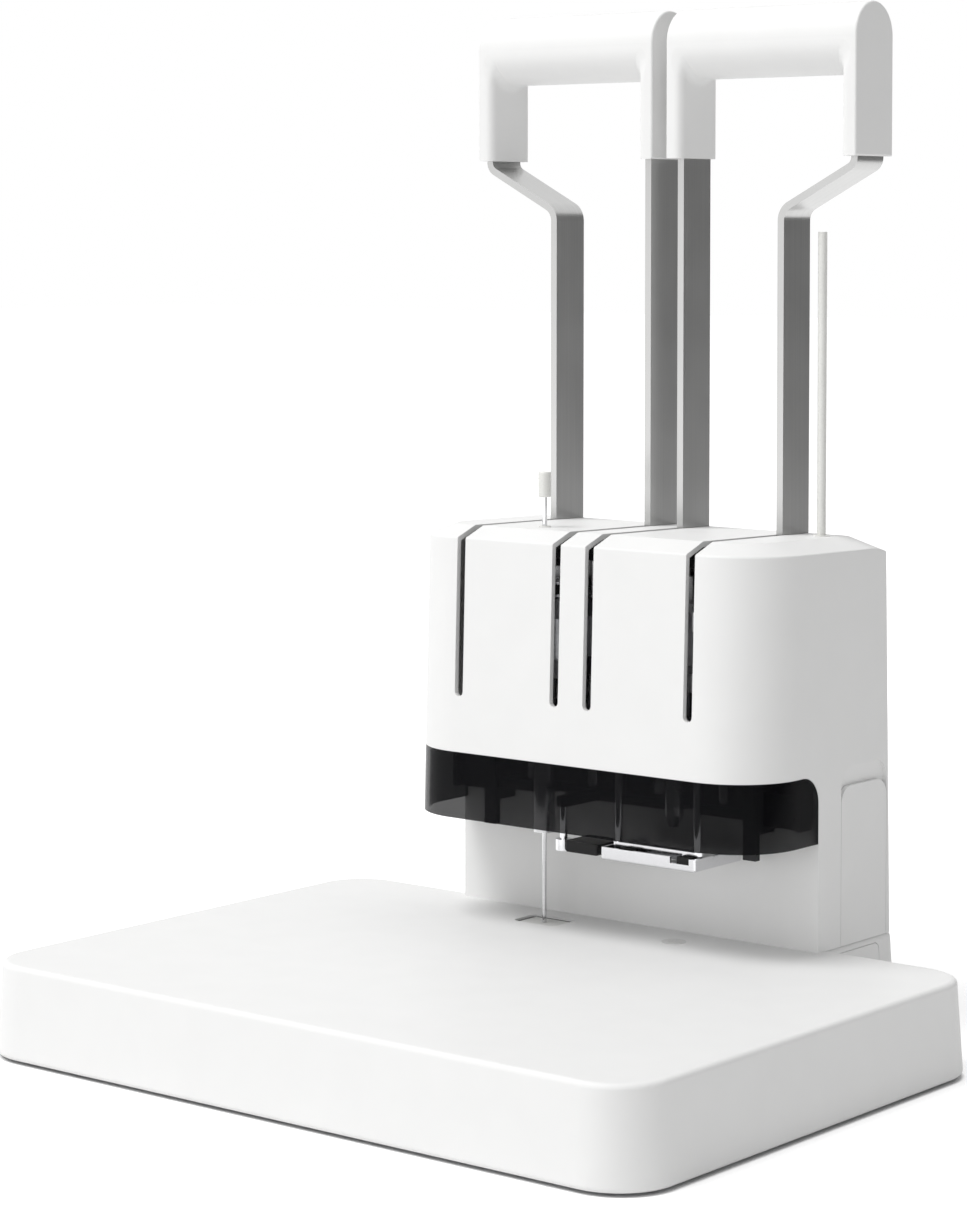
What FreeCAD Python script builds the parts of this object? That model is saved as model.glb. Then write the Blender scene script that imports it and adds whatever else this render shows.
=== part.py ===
import FreeCAD, Part
import math
import os

V = FreeCAD.Vector
ORIGIN = V(0, 0, 0)
X_AXIS = V(1, 0, 0)
Y_AXIS = V(0, 1, 0)
Z_AXIS = V(0, 0, 1)

# The machine stands on the plane z = 0. +X is the operator's right, -Y faces the operator, and the
# origin is the middle of the footprint. All sizes are millimetres. The hollow drill works on the
# left tool axis and the heated riveting die on the right one.

# Base: a wide moulded tray, with a narrower box behind it that carries the column
base_width = 425.0
tray_depth = 301.9
rear_box_depth = 65.3
base_top_z = 50.0
base_gap = 1.5
base_draft = 4.0
rear_box_draft = 2.5
tray_corner_r = 31.0
rear_box_step = 0.2
rear_box_corner_r = 9.0
base_edge_r = 3.0
base_foot_r = 2.6
wall = 3.0
rib_t = 2.0
rib_h = 12.0
rib_pitch = 66.0

# Base plate, feet and screws
plate_t = 2.0
plate_inset = 3.4
foot_r = 11.0
foot_stem_r = 5.0
foot_barb_r = 6.5
foot_barb_h = 1.6
foot_inset_x = 36.0
foot_front_inset = 38.0
foot_mid_y = 72.0
foot_rear_x = 102.0
foot_rear_inset = 24.0
boss_r = 4.5
boss_inset_x = 16.0
boss_inset_y = 22.0
screw_r = 2.0
screw_head_r = 3.6
screw_head_h = 1.2
screw_depth = 11.0

# Column and head: one moulded shell over the mechanism
shell_half = 119.0
column_front_y = 105.4
column_rear_y = 177.1
rear_draft = 1.5
head_front_y = 48.8
head_front_ref_z = 213.0
head_front_draft = 1.75
head_corner_r = 38.0
shell_rear_r = 3.0
head_edge_z = 259.6
top_chamfer_run = 15.3
top_chamfer_rise = 6.0
top_tilt = 1.1
top_edge_r = 1.2
front_wall_top_z = 117.0

# Smoked visor round the foot of the head
visor_bottom_z = 107.5
visor_top_z = 143.2
visor_t = 2.5
visor_corner_r = 14.0
visor_lip_h = 8.8
visor_lip_t = 1.6
visor_lip_gap = 0.2
visor_shoulder_h = 4.0
visor_lip_back = 20.0
seam = 0.3
visor_arm_y = 96.0
visor_arm_t = 3.0
visor_arm_z = 115.0
visor_arm_h = 18.0
visor_tab_w = 12.0
visor_tab_t = 2.4
visor_stud_r = 3.0

# Tool axes, levers and their pivot
tool_x = 43.55
tool_y = 81.7
pivot_y = 144.0
pivot_z = 173.0
lever_swing = 80.0
arm_half_spacing = 32.6
arm_t = 4.0
arm_w = 25.0
slot_w = 5.6
slot_bottom_z = 173.8
slot_rear_gap = 1.6

# Bent outer arm and the grip
knee_drop = 24.0
bend_drop = 4.2
outer_leg_x = 122.0
knee_r = 9.0
bend_r = 6.0
arm_end_drop = 44.7
grip_inner_x = 4.7
grip_outer_x = 126.3
grip_leg_t = 9.8
grip_w = 36.0
grip_h = 81.0
grip_top_z = 546.7
grip_bar_h = 38.3
grip_inside_r = 4.5
grip_edge_r = 1.2
seat_fit = 0.03

# Lever hub, gear sector and rack
shaft_r = 6.0
run_fit = 0.05
hub_r = 12.0
spigot_r = 8.5
hub_end_gap = 0.5
stroke = 61.0
tooth_module = 2.0
pressure_angle = 20.0
addendum = 1.8
dedendum = 2.5
tooth_play = 0.6
gear_w = 8.0
rack_back = 8.0
rack_tail = 1.5
sector_hole_r = 8.0
sector_hole_reach = 27.0
spring_gap = 0.5
spring_t = 2.2
spring_near = 8.0
spring_far = 26.0
stop_r = 3.0
stop_z = 231.0

# Inner frame of black plates
side_plate_in = 83.0
side_plate_t = 8.0
side_plate_front_y = 88.4
side_plate_foot_z = 97.4
side_plate_foot_d = 4.0
side_plate_step_z = 111.0
side_plate_low_y = 112.0
centre_plate_t = 8.0
centre_plate_front_y = 92.5
frame_rear_y = 165.0
frame_slope_y = 106.0
frame_slope_z = 219.0
frame_hole_r = 13.0
frame_hole_y = 142.0
frame_hole_z = 213.0
lower_bridge_z = 117.6
lower_bridge_t = 6.0
top_bridge_z = 248.0
top_bridge_t = 5.0
bridge_front_y = 92.0
tool_clearance = 2.4
notch_gap = 0.6

# Guide rods and the carriages that slide on them
rod_r = 4.0
rod_dx = 21.0
rod_y = 99.0
carriage_half = 29.0
carriage_front_y = 60.8
carriage_rear_y = 105.0
carriage_low_z = 187.0
carriage_high_z = 229.0
carriage_corner_r = 5.0
arm_plate_t = 10.0
web_front_y = 86.6
channel_half = 6.0
arm_bore_r = 6.4

# Hollow drill, its spindle and its drive
drill_r = 3.0
drill_bore_r = 2.0
drill_edge_h = 2.4
drill_edge_r = 2.2
drill_seat_h = 20.0
spindle_r = 5.0
nose_r = 7.0
nose_z = 163.0
nose_gap = 0.4
bearing_r = 9.5
bearing_h = 5.0
pulley_gap = 0.8
pulley_h = 8.0
pulley_rim = 1.2
spindle_pulley_r = 8.0
motor_pulley_r = 5.0
flange_over = 1.5
belt_t = 1.2
belt_gap = 0.3
motor_r = 11.0
motor_dx = 15.3
motor_dy = -7.9
motor_gap = 0.4
motor_shaft_r = 1.6
motor_shaft_depth = 8.0
drill_end_gap = 0.3

# Presser sleeve round the drill
sleeve_foot_z = 99.0
sleeve_r = 6.0
sleeve_bore_r = 3.6
cup_r = 9.5
cup_floor_z = 145.0
cup_floor_t = 2.0
cup_top_z = 173.0
press_end_gap = 0.4

# Heated riveting die
heater_r = 8.0
heater_low_z = 139.0
fin_r = 10.4
fin_t = 2.0
fin_count = 5
fin_pitch = 6.0
fin_start = 6.0
die_r = 5.0
die_tip_r = 3.0
die_cone_h = 6.0

# Sprung presser tray below the riveting die
tray_foot_z = 94.0
tray_half_w = 30.4
tray_front_y = 57.6
tray_length = 42.0
tray_sheet_t = 1.3
tray_lip_h = 6.6
tray_hole_r = 8.0
tray_notch_w = 12.0
tray_notch_h = 3.2
tray_notch_inset = 2.4
tray_bend_r = 1.0
post_r = 2.1
post_dx = 25.5
post_y = 67.0
post_head_r = 3.2
post_head_h = 2.0
tie_z = 98.2
tie_h = 4.8
tie_w = 6.4
bumper_w = 9.0
bumper_d = 4.0
bumper_h = 5.6
bumper_dx_left = 15.0
bumper_dx_right = 22.6

# Lamp between the two tools
lamp_w = 21.6
lamp_front_y = 60.4
lamp_depth = 22.0
lamp_low_z = 94.3
lamp_h = 6.2
lamp_edge_r = 1.4
lamp_post_r = 2.1
lamp_post_x = -17.6
lamp_post_y = 65.4
lamp_foot_r = 4.4
lamp_foot_h = 6.0
lamp_arm_w = 8.0
lamp_arm_t = 5.0
lamp_arm_gap = 0.6

# Cutting pad and lower die in the base
pad_w = 28.4
pad_d = 21.0
pad_corner_r = 4.0
pad_sink = 1.2
pad_gap = 0.2
lower_die_r = 6.5
lower_die_lift = 0.2
lower_die_cup_r = 3.4
lower_die_cup_h = 0.9
lower_die_stem_r = 4.0
lower_die_stem_h = 9.0
anvil_half = 66.0
anvil_half_d = 19.0
anvil_leg = 10.0
anvil_beam_t = 14.0

# Clearing needle and its knob
needle_r = 1.25
knob_r = 3.6
knob_low_z = 282.0
knob_h = 13.8
knob_edge_r = 0.7
needle_guide_r = 3.4
needle_guide_h = 0.8
needle_guide_stem_r = 2.5
needle_guide_stem_h = 5.0
needle_slack_r = 1.7

# Rivet tube in its well
tube_r = 2.4
tube_bore_r = 1.5
tube_top_z = 426.0
tube_y = 142.0
tube_fit = 0.1
well_wall = 2.0
well_floor = 2.0
well_low_z = 155.0
well_lift = 0.6
well_gap = 0.3

# Side covers with a finger scoop above them
cover_front_y = 127.2
cover_rear_y = 171.0
cover_top_z = 134.3
cover_corner_r = 9.0
cover_t = 2.4
cover_pad_t = 3.0
cover_pad_over = 4.0
scoop_top_z = 145.0
scoop_corner_r = 11.5
scoop_depth = 3.6
scoop_shallow = 1.2
scoop_overlap = 8.0

# Rear cover with its vents and screws
rear_cover_half = 96.0
rear_cover_low_z = 61.0
rear_cover_high_z = 243.0
rear_cover_t = 1.5
rear_cover_r = 8.0
rear_ledge = 14.0
vent_w = 34.0
vent_h = 4.0
vent_pitch = 9.0
vent_rows = 7
vent_dx = 34.0
vent_low_z = 155.0
rear_screw_inset = 6.6
rear_boss_r = 4.2
rear_boss_y = 166.5

# Waste drawer in the right side of the rear box
drawer_front_y = 124.0
drawer_rear_y = 163.5
drawer_low_z = 6.8
drawer_top_z = 46.4
drawer_corner_r = 4.0
drawer_inner_x = 14.0
drawer_wall = 1.8
drawer_body_h = 34.0
drawer_face_t = 2.6
drawer_side_gap = 1.4
drawer_body_end = 1.0
thumb_r = 8.0
thumb_depth = 1.4
thumb_z = 24.5
runner_w = 3.0
runner_inset = 3.0
runner_end_x = 90.0

# Mains inlet and switch in the rear wall
mains_face_sink = 0.3
mains_low_z = 12.0
mains_high_z = 39.0
mains_left_x = -99.0
mains_right_x = -20.0
mains_z = 25.5
inlet_x = -78.0
inlet_w = 27.0
inlet_h = 20.0
mains_flange = 2.0
mains_flange_t = 1.4
inlet_depth = 24.0
inlet_cavity_w = 21.4
inlet_cavity_h = 14.0
inlet_cavity_depth = 16.0
pin_w = 4.0
pin_t = 2.0
pin_length = 12.0
pin_dx = 7.0
pin_dz = 1.8
switch_x = -38.0
switch_w = 18.0
switch_h = 21.0
switch_depth = 14.0
rocker_w = 14.0
rocker_half_h = 8.5
rocker_low_y = 5.0
rocker_dip = 1.0
rocker_angle = 10.0
rocker_sink = 2.4
rocker_play = 0.4

# Heater and motor supply inside the column
supply_w = 120.0
supply_d = 40.0
supply_h = 44.0
supply_y = 138.0
supply_flange = 6.0
supply_flange_t = 2.0

rack_pitch_r = stroke / math.radians(lever_swing)
tooth_pitch = math.pi * tooth_module
rack_pitch_y = pivot_y - rack_pitch_r
rack_tip_y = rack_pitch_y + addendum
grip_bottom_z = grip_top_z - grip_h
arm_top_z = grip_top_z - arm_end_drop
bend_z = grip_bottom_z - bend_drop
knee_z = bend_z - knee_drop
rear_box_half = shell_half + rear_box_step
front_foot_y = -(tray_depth + rear_box_depth) / 2
tray_rear_y = front_foot_y + tray_depth
rear_foot_y = tray_rear_y + rear_box_depth
plate_top_z = base_gap + plate_t
ceiling_z = base_top_z - wall
pad_top_z = base_top_z - pad_sink
drill_tip_z = pad_top_z + drill_end_gap + stroke
die_tip_z = base_top_z + lower_die_lift + press_end_gap + stroke
inner_arm_x = tool_x - arm_half_spacing
outer_arm_x = tool_x + arm_half_spacing
slot_rear_y = pivot_y + arm_w / 2 + slot_rear_gap
well_r = tube_r + tube_fit + well_wall
well_x = side_plate_in + side_plate_t + well_gap + well_r
post_top_z = carriage_high_z + seam + post_head_h


def tan_deg(angle):
    return math.tan(math.radians(angle))


def box(x0, x1, y0, y1, z0, z1):
    """A box between two corners."""
    return Part.makeBox(x1 - x0, y1 - y0, z1 - z0, V(x0, y0, z0))


def rod(r, x, y, z0, z1):
    """An upright cylinder."""
    return Part.makeCylinder(r, z1 - z0, V(x, y, z0), Z_AXIS)


def ring(r_out, r_in, x, y, z0, z1):
    """An upright tube."""
    return rod(r_out, x, y, z0, z1).cut(rod(r_in, x, y, z0, z1))


def rod_x(r, x0, x1, y, z):
    """A cylinder along X."""
    return Part.makeCylinder(r, x1 - x0, V(x0, y, z), X_AXIS)


def rod_y_axis(r, x, y0, y1, z):
    """A cylinder along Y."""
    return Part.makeCylinder(r, y1 - y0, V(x, y0, z), Y_AXIS)


def prism(points, push):
    """A flat polygon pushed along a vector."""
    return Part.Face(Part.makePolygon(points + points[:1])).extrude(push)


def prism_x(points_yz, x0, x1):
    """A polygon in the YZ plane pushed along X."""
    return prism([V(x0, y, z) for y, z in points_yz], V(x1 - x0, 0, 0))


def fused(shapes):
    """One solid from several that meet."""
    return shapes[0].multiFuse(shapes[1:]).removeSplitter()


def mirrored(shape):
    """The same shape on the other side of the machine."""
    return shape.mirror(ORIGIN, X_AXIS)


def both_sides(shape):
    """A shape and its mirror image."""
    return [shape, mirrored(shape)]


def shrunk(r, inset):
    """A corner radius carried inward, never quite sharp."""
    return max(r - inset, 0.5)


def rounded_wire(x0, x1, y0, y1, r_front, r_rear, z):
    """A rectangle in plan whose front and rear corners are arcs."""
    half_turn = math.sqrt(0.5)
    corners = [(x1, y0, -1, 1, r_front), (x1, y1, -1, -1, r_rear)]
    corners += [(x0, y1, 1, -1, r_rear), (x0, y0, 1, 1, r_front)]
    arcs = []
    for x, y, sx, sy, r in corners:
        along_y = V(x, y + sy * r, z)
        along_x = V(x + sx * r, y, z)
        middle = V(x + sx * r * (1 - half_turn), y + sy * r * (1 - half_turn), z)
        ends = (along_x, along_y) if sx * sy < 0 else (along_y, along_x)
        arcs.append((ends[0], middle, ends[1]))
    edges = []
    for i, (first, middle, last) in enumerate(arcs):
        edges.append(Part.Arc(first, middle, last).toShape())
        edges.append(Part.LineSegment(last, arcs[(i + 1) % 4][0]).toShape())
    return Part.Wire(edges)


def rounded_block(x0, x1, y0, y1, z0, z1, r):
    """An upright block with rounded vertical edges."""
    return Part.Face(rounded_wire(x0, x1, y0, y1, r, r, z0)).extrude(V(0, 0, z1 - z0))


def rounded_panel(x0, x1, z0, z1, y0, y1, r):
    """A block whose four edges along Y are rounded."""
    panel = rounded_block(x0, x1, z0, z1, -y1, -y0, r)
    panel.rotate(ORIGIN, X_AXIS, 90)
    return panel


def rounded_side(y0, y1, z0, z1, x0, x1, r):
    """A block along X whose two upper edges are rounded."""
    block = box(x0, x1, y0, y1, z0, z1)
    top = [e for e in block.Edges if along_x_at(e, y0, z1) or along_x_at(e, y1, z1)]
    return block.makeFillet(r, top)


def along_x_at(edge, y, z):
    """True for an edge along X that lies at y and z."""
    a = edge.Vertexes[0].Point
    b = edge.Vertexes[-1].Point
    return abs(a.y - y) + abs(b.y - y) + abs(a.z - z) + abs(b.z - z) < 1e-6


def edges_between(shape, z0, z1):
    """The edges that lie wholly between two heights."""
    return [e for e in shape.Edges if e.BoundBox.ZMin > z0 and e.BoundBox.ZMax < z1]


def edges_at_x(shape, x, z_over):
    """The edges in the plane x that reach above a height."""
    found = []
    for edge in shape.Edges:
        bounds = edge.BoundBox
        if abs(bounds.XMin - x) < 1e-4 and abs(bounds.XMax - x) < 1e-4 and bounds.ZMax > z_over:
            found.append(edge)
    return found


# Base cover, base plate, feet and what the base holds

def tray_wire(z, inset):
    """Outline of the tray at a height, narrowing upward with the draft."""
    run = (z - base_gap) * tan_deg(base_draft) + inset
    half = base_width / 2 - run
    r = tray_corner_r - run
    return rounded_wire(-half, half, front_foot_y + run, tray_rear_y - run, r, r, z)


def rear_box_wire(z, inset):
    """Outline of the box behind the tray."""
    half = rear_box_half + (base_top_z - z) * tan_deg(rear_box_draft) - inset
    rear = rear_foot_y - (z - base_gap) * tan_deg(rear_box_draft) - inset
    front = tray_rear_y - tray_corner_r
    r = shrunk(rear_box_corner_r, inset)
    return rounded_wire(-half, half, front, rear, r, r, z)


def rear_box_hull(z0, z1, inset):
    return Part.makeLoft([rear_box_wire(z0, inset), rear_box_wire(z1, inset)], True, True)


def base_hull(z0, z1, inset):
    """Tray and rear box as one drafted solid."""
    tray = Part.makeLoft([tray_wire(z0, inset), tray_wire(z1, inset)], True, True)
    return tray.fuse(rear_box_hull(z0, z1, inset)).removeSplitter()


def boss_points():
    """Where the base plate is screwed to the cover."""
    half = base_width / 2 - boss_inset_x
    front = front_foot_y + boss_inset_y
    rear = tray_rear_y - boss_inset_y
    middle = (front + rear) / 2
    points = [(side * half, y) for side in (-1, 1) for y in (front, middle, rear)]
    corner = tray_corner_r - boss_inset_x
    points = [(x, y + corner if y == front else y - corner if y == rear else y) for x, y in points]
    return points + [(0.0, front), (0.0, rear_foot_y - boss_inset_y / 2)]


def foot_points():
    """Two feet in front, two at mid depth and two under the column."""
    half = base_width / 2 - foot_inset_x
    rear = rear_foot_y - foot_rear_inset
    points = [(side * half, y) for side in (-1, 1) for y in (front_foot_y + foot_front_inset, foot_mid_y)]
    return points + [(-foot_rear_x, rear), (foot_rear_x, rear)]


def pad_outline(grow, z0, z1):
    """The cutting pad's outline on the left tool axis."""
    w = pad_w / 2 + grow
    d = pad_d / 2 + grow
    r = pad_corner_r + grow
    return rounded_block(-tool_x - w, -tool_x + w, tool_y - d, tool_y + d, z0, z1, r)


def drawer_outline(grow, x0, x1):
    """The waste drawer's front, as a block along X."""
    y0 = drawer_front_y - grow
    y1 = drawer_rear_y + grow
    return rounded_side(y0, y1, drawer_low_z - grow, drawer_top_z + grow, x0, x1, drawer_corner_r)


def mains_face_y():
    """The flat that carries the inlet and the switch."""
    return rear_foot_y - (mains_high_z - base_gap) * tan_deg(rear_box_draft) - mains_face_sink


def mains_opening(x, w, h, grow):
    """A hole through the rear wall round an inlet or switch."""
    y = mains_face_y()
    return box(x - w / 2 - grow, x + w / 2 + grow, y - 2 * wall, y + wall,
               mains_z - h / 2 - grow, mains_z + h / 2 + grow)


def base_ribs():
    """Stiffening ribs under the tray's top, both ways."""
    hull = base_hull(base_gap, ceiling_z + wall / 2, wall / 2)
    low = ceiling_z - rib_h
    reach = base_width / 2
    slats = []
    for i in range(-2, 3):
        x = i * rib_pitch + rib_pitch / 2
        slats.append(box(x - rib_t / 2, x + rib_t / 2, front_foot_y, tool_y - anvil_half_d - wall,
                         low, ceiling_z + rib_t / 2))
    for i in range(3):
        y = front_foot_y + (i + 1) * rib_pitch
        slats.append(box(-reach, reach, y - rib_t / 2, y + rib_t / 2, low, ceiling_z + rib_t / 2))
    return [slat.common(hull) for slat in slats]


def make_base_cover():
    outer = base_hull(base_gap, base_top_z, 0.0)
    outer = outer.makeFillet(base_edge_r, edges_between(outer, base_top_z - 0.01, base_top_z + 0.01))
    outer = outer.makeFillet(base_foot_r, edges_between(outer, base_gap - 0.01, base_gap + 0.01))
    cover = outer.cut(base_hull(base_gap, ceiling_z, wall))
    posts = [rod(boss_r, x, y, plate_top_z, base_top_z - wall / 2) for x, y in boss_points()]
    cover = cover.multiFuse(posts + base_ribs())
    side_x = rear_box_half / 2
    holes = [rod(screw_r, x, y, plate_top_z, plate_top_z + screw_depth) for x, y in boss_points()]
    holes.append(pad_outline(0.0, ceiling_z - 1, base_top_z + 1))
    holes.append(rod(lower_die_r + pad_gap, tool_x, tool_y, ceiling_z - 1, base_top_z + 1))
    holes.append(drawer_outline(seam, side_x, rear_box_half + 2 * wall))
    holes.append(box(mains_left_x, mains_right_x, mains_face_y(), rear_foot_y + 1,
                     mains_low_z, mains_high_z))
    holes.append(mains_opening(inlet_x, inlet_w, inlet_h, seat_fit))
    holes.append(mains_opening(switch_x, switch_w, switch_h, seat_fit))
    return cover.cut(holes).removeSplitter()


def make_base_plate():
    plate = base_hull(base_gap, plate_top_z, plate_inset)
    holes = [rod(foot_stem_r + seat_fit, x, y, 0, base_top_z) for x, y in foot_points()]
    holes += [rod(screw_r, x, y, 0, base_top_z) for x, y in boss_points()]
    return plate.cut(holes)


def make_rubber_feet():
    feet = []
    for x, y in foot_points():
        disc = rod(foot_r, x, y, 0, base_gap)
        stem = rod(foot_stem_r, x, y, 0, plate_top_z + foot_barb_h)
        barb = rod(foot_barb_r, x, y, plate_top_z, plate_top_z + foot_barb_h)
        feet.append(fused([disc, stem, barb]))
    return Part.makeCompound(feet)


def plate_screws():
    screws = []
    for x, y in boss_points():
        head = rod(screw_head_r, x, y, base_gap - screw_head_h, base_gap)
        shank = rod(screw_r - seat_fit, x, y, base_gap, plate_top_z + screw_depth - 1)
        screws.append(fused([head, shank]))
    return screws


def make_anvil_bridge():
    """Steel bridge between the base plate and the tray's top, under both tools."""
    y0 = tool_y - anvil_half_d
    y1 = tool_y + anvil_half_d
    block = box(-anvil_half, anvil_half, y0, y1, plate_top_z, ceiling_z)
    gap = box(-anvil_half + anvil_leg, anvil_half - anvil_leg, y0 - 1, y1 + 1,
              plate_top_z - 1, ceiling_z - anvil_beam_t)
    stem = rod(lower_die_stem_r + seat_fit, tool_x, tool_y, ceiling_z - lower_die_stem_h, ceiling_z)
    return block.cut([gap, stem])


def make_cutting_pad():
    return pad_outline(-pad_gap, ceiling_z, pad_top_z)


def make_lower_die():
    top = base_top_z + lower_die_lift
    head = rod(lower_die_r, tool_x, tool_y, ceiling_z, top)
    stem = rod(lower_die_stem_r, tool_x, tool_y, ceiling_z - lower_die_stem_h + 1, top)
    cup = Part.makeCone(lower_die_cup_r / 2, lower_die_cup_r, lower_die_cup_h,
                        V(tool_x, tool_y, top - lower_die_cup_h), Z_AXIS)
    return fused([head, stem]).cut(cup)


def make_waste_drawer():
    """Tray with a front that continues the wall of the rear box."""
    skin = rear_box_hull(base_gap, base_top_z, 0.0).cut(rear_box_hull(base_gap, base_top_z, drawer_face_t))
    face = skin.common(drawer_outline(0.0, rear_box_half / 2, rear_box_half + 2 * wall))
    y0 = drawer_front_y + drawer_side_gap
    y1 = drawer_rear_y - drawer_side_gap
    x1 = rear_box_half - drawer_body_end
    top = drawer_low_z + drawer_body_h
    tub = box(drawer_inner_x, x1, y0, y1, drawer_low_z, top)
    room = box(drawer_inner_x + drawer_wall, x1 - drawer_face_t, y0 + drawer_wall, y1 - drawer_wall,
               drawer_low_z + drawer_wall, top + 1)
    thumb_x = rear_box_half + (base_top_z - thumb_z) * tan_deg(rear_box_draft) - thumb_depth
    thumb = rod_x(thumb_r, thumb_x, rear_box_half + 2 * wall, (y0 + y1) / 2, thumb_z)
    return fused([tub, face]).cut([room, thumb])


def make_drawer_runners():
    strips = []
    for y in (drawer_front_y + drawer_side_gap + runner_inset,
              drawer_rear_y - drawer_side_gap - runner_inset - runner_w):
        strips.append(box(drawer_inner_x, runner_end_x, y, y + runner_w,
                          plate_top_z, drawer_low_z - seam))
    return Part.makeCompound(strips)


def make_power_inlet():
    y = mains_face_y()
    body = box(inlet_x - inlet_w / 2, inlet_x + inlet_w / 2, y - inlet_depth, y,
               mains_z - inlet_h / 2, mains_z + inlet_h / 2)
    flange = rounded_panel(inlet_x - inlet_w / 2 - mains_flange, inlet_x + inlet_w / 2 + mains_flange,
                           mains_z - inlet_h / 2 - mains_flange, mains_z + inlet_h / 2 + mains_flange,
                           y, y + mains_flange_t, mains_flange)
    cavity = rounded_panel(inlet_x - inlet_cavity_w / 2, inlet_x + inlet_cavity_w / 2,
                           mains_z - inlet_cavity_h / 2, mains_z + inlet_cavity_h / 2,
                           y - inlet_cavity_depth, y + 2 * mains_flange_t, mains_flange)
    return fused([body, flange]).cut(cavity)


def make_inlet_pins():
    y = mains_face_y() - inlet_cavity_depth
    pins = []
    for dx, dz in ((-pin_dx, -pin_dz), (0.0, pin_dz), (pin_dx, -pin_dz)):
        x = inlet_x + dx
        z = mains_z + dz
        pins.append(box(x - pin_t / 2, x + pin_t / 2, y, y + pin_length, z - pin_w / 2, z + pin_w / 2))
    return Part.makeCompound(pins)


def rocker_centre_y():
    return mains_face_y() - rocker_sink


def make_switch_bezel():
    y = mains_face_y()
    body = box(switch_x - switch_w / 2, switch_x + switch_w / 2, y - switch_depth, y,
               mains_z - switch_h / 2, mains_z + switch_h / 2)
    flange = rounded_panel(switch_x - switch_w / 2 - mains_flange, switch_x + switch_w / 2 + mains_flange,
                           mains_z - switch_h / 2 - mains_flange, mains_z + switch_h / 2 + mains_flange,
                           y, y + mains_flange_t, mains_flange)
    half_w = rocker_w / 2 + rocker_play
    half_h = rocker_half_h + 2 * rocker_play
    well = box(switch_x - half_w, switch_x + half_w, rocker_centre_y() - rocker_low_y - 4 * rocker_play,
               y + 2 * mains_flange_t, mains_z - half_h, mains_z + half_h)
    return fused([body, flange]).cut(well)


def make_power_rocker():
    """Rocker with a shallow dip between its two ends, shown switched off."""
    y = rocker_centre_y()
    h = rocker_half_h
    half = [(-rocker_low_y, 0.7 * h), (rocker_dip, h + 0.2), (2 * rocker_dip, h)]
    points = [(dy, -dz) for dy, dz in half] + [(rocker_dip, 0.0)] + [(dy, dz) for dy, dz in half[::-1]]
    rocker = prism_x([(y + dy, mains_z + dz) for dy, dz in points],
                     switch_x - rocker_w / 2, switch_x + rocker_w / 2)
    rocker.rotate(V(0, y, mains_z), X_AXIS, -rocker_angle)
    return rocker


# Head and column shell, visor and covers

def shell_wire(z, inset):
    """Plan of head and column at a height; the front and the rear lean outward downward."""
    front = head_front_y + (z - head_front_ref_z) * tan_deg(head_front_draft) + inset
    half = shell_half - inset
    return rounded_wire(-half, half, front, shell_rear_y(z) - inset,
                        head_corner_r - inset, shrunk(shell_rear_r, inset), z)


def shell_rear_y(z):
    return column_rear_y - (z - base_top_z) * tan_deg(rear_draft)


def shell_hull(z0, z1, inset):
    return Part.makeLoft([shell_wire(z0, inset), shell_wire(z1, inset)], True, True)


def roof_z(y):
    """Height of the level part of the top, which falls to the rear."""
    return head_edge_z + top_chamfer_rise - (y - tool_y) * tan_deg(top_tilt)


def roof(drop):
    """Everything below the hipped top, lowered by a wall where it bounds the inside."""
    front = head_front_y + (head_edge_z - head_front_ref_z) * tan_deg(head_front_draft)
    rear = shell_rear_y(head_edge_z)
    sections = []
    for z in (0.0, head_edge_z + top_chamfer_rise):
        grow = (head_edge_z - z) * top_chamfer_run / top_chamfer_rise
        half = shell_half + grow
        sections.append(rounded_wire(-half, half, front - grow, rear + grow,
                                     shrunk(head_corner_r, -grow), shrunk(shell_rear_r, -grow), z))
    hip = Part.makeLoft(sections, True, True)
    hip.rotate(V(0, tool_y, head_edge_z + top_chamfer_rise), X_AXIS, -top_tilt)
    hip.translate(V(0, 0, -drop))
    return hip


def throat_cut():
    """The open throat below the head, with the visor's place above it."""
    gap = seam
    return rounded_side_front(column_front_y, visor_top_z + gap, visor_corner_r + gap)


def rounded_side_front(y_rear, z_top, r):
    """A block across the machine whose upper rear edge is rounded."""
    reach = 2 * shell_half
    block = box(-reach, reach, -reach, y_rear, -1, z_top)
    edge = [e for e in block.Edges if along_x_at(e, y_rear, z_top)]
    return block.makeFillet(r, edge)


def half_round(x, along, start, end, place):
    """A slot outline from a round end at start to an open end, place giving the point."""
    r = slot_w / 2
    turn = start + r if end > start else start - r
    first = place(x - r, turn)
    last = place(x + r, turn)
    arc = Part.Arc(first, place(x, start), last).toShape()
    rest = Part.makePolygon([last, place(x + r, end), place(x - r, end), first])
    return Part.Face(Part.Wire([arc] + rest.Edges)).extrude(along)


def arm_slot(x):
    """Slot for one lever arm: up the front, over the edge and back along the top."""
    front = head_front_y - head_corner_r
    high = head_edge_z + 4 * top_chamfer_rise
    upright = half_round(x, V(0, slot_rear_y - front, 0), slot_bottom_z, high,
                         lambda px, pz: V(px, front, pz))
    level = half_round(x, V(0, 0, high - slot_bottom_z), slot_rear_y, front,
                       lambda px, py: V(px, py, slot_bottom_z))
    return upright.common(level)


def arm_slots():
    return [arm_slot(side * x) for side in (-1, 1) for x in (inner_arm_x, outer_arm_x)]


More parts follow.
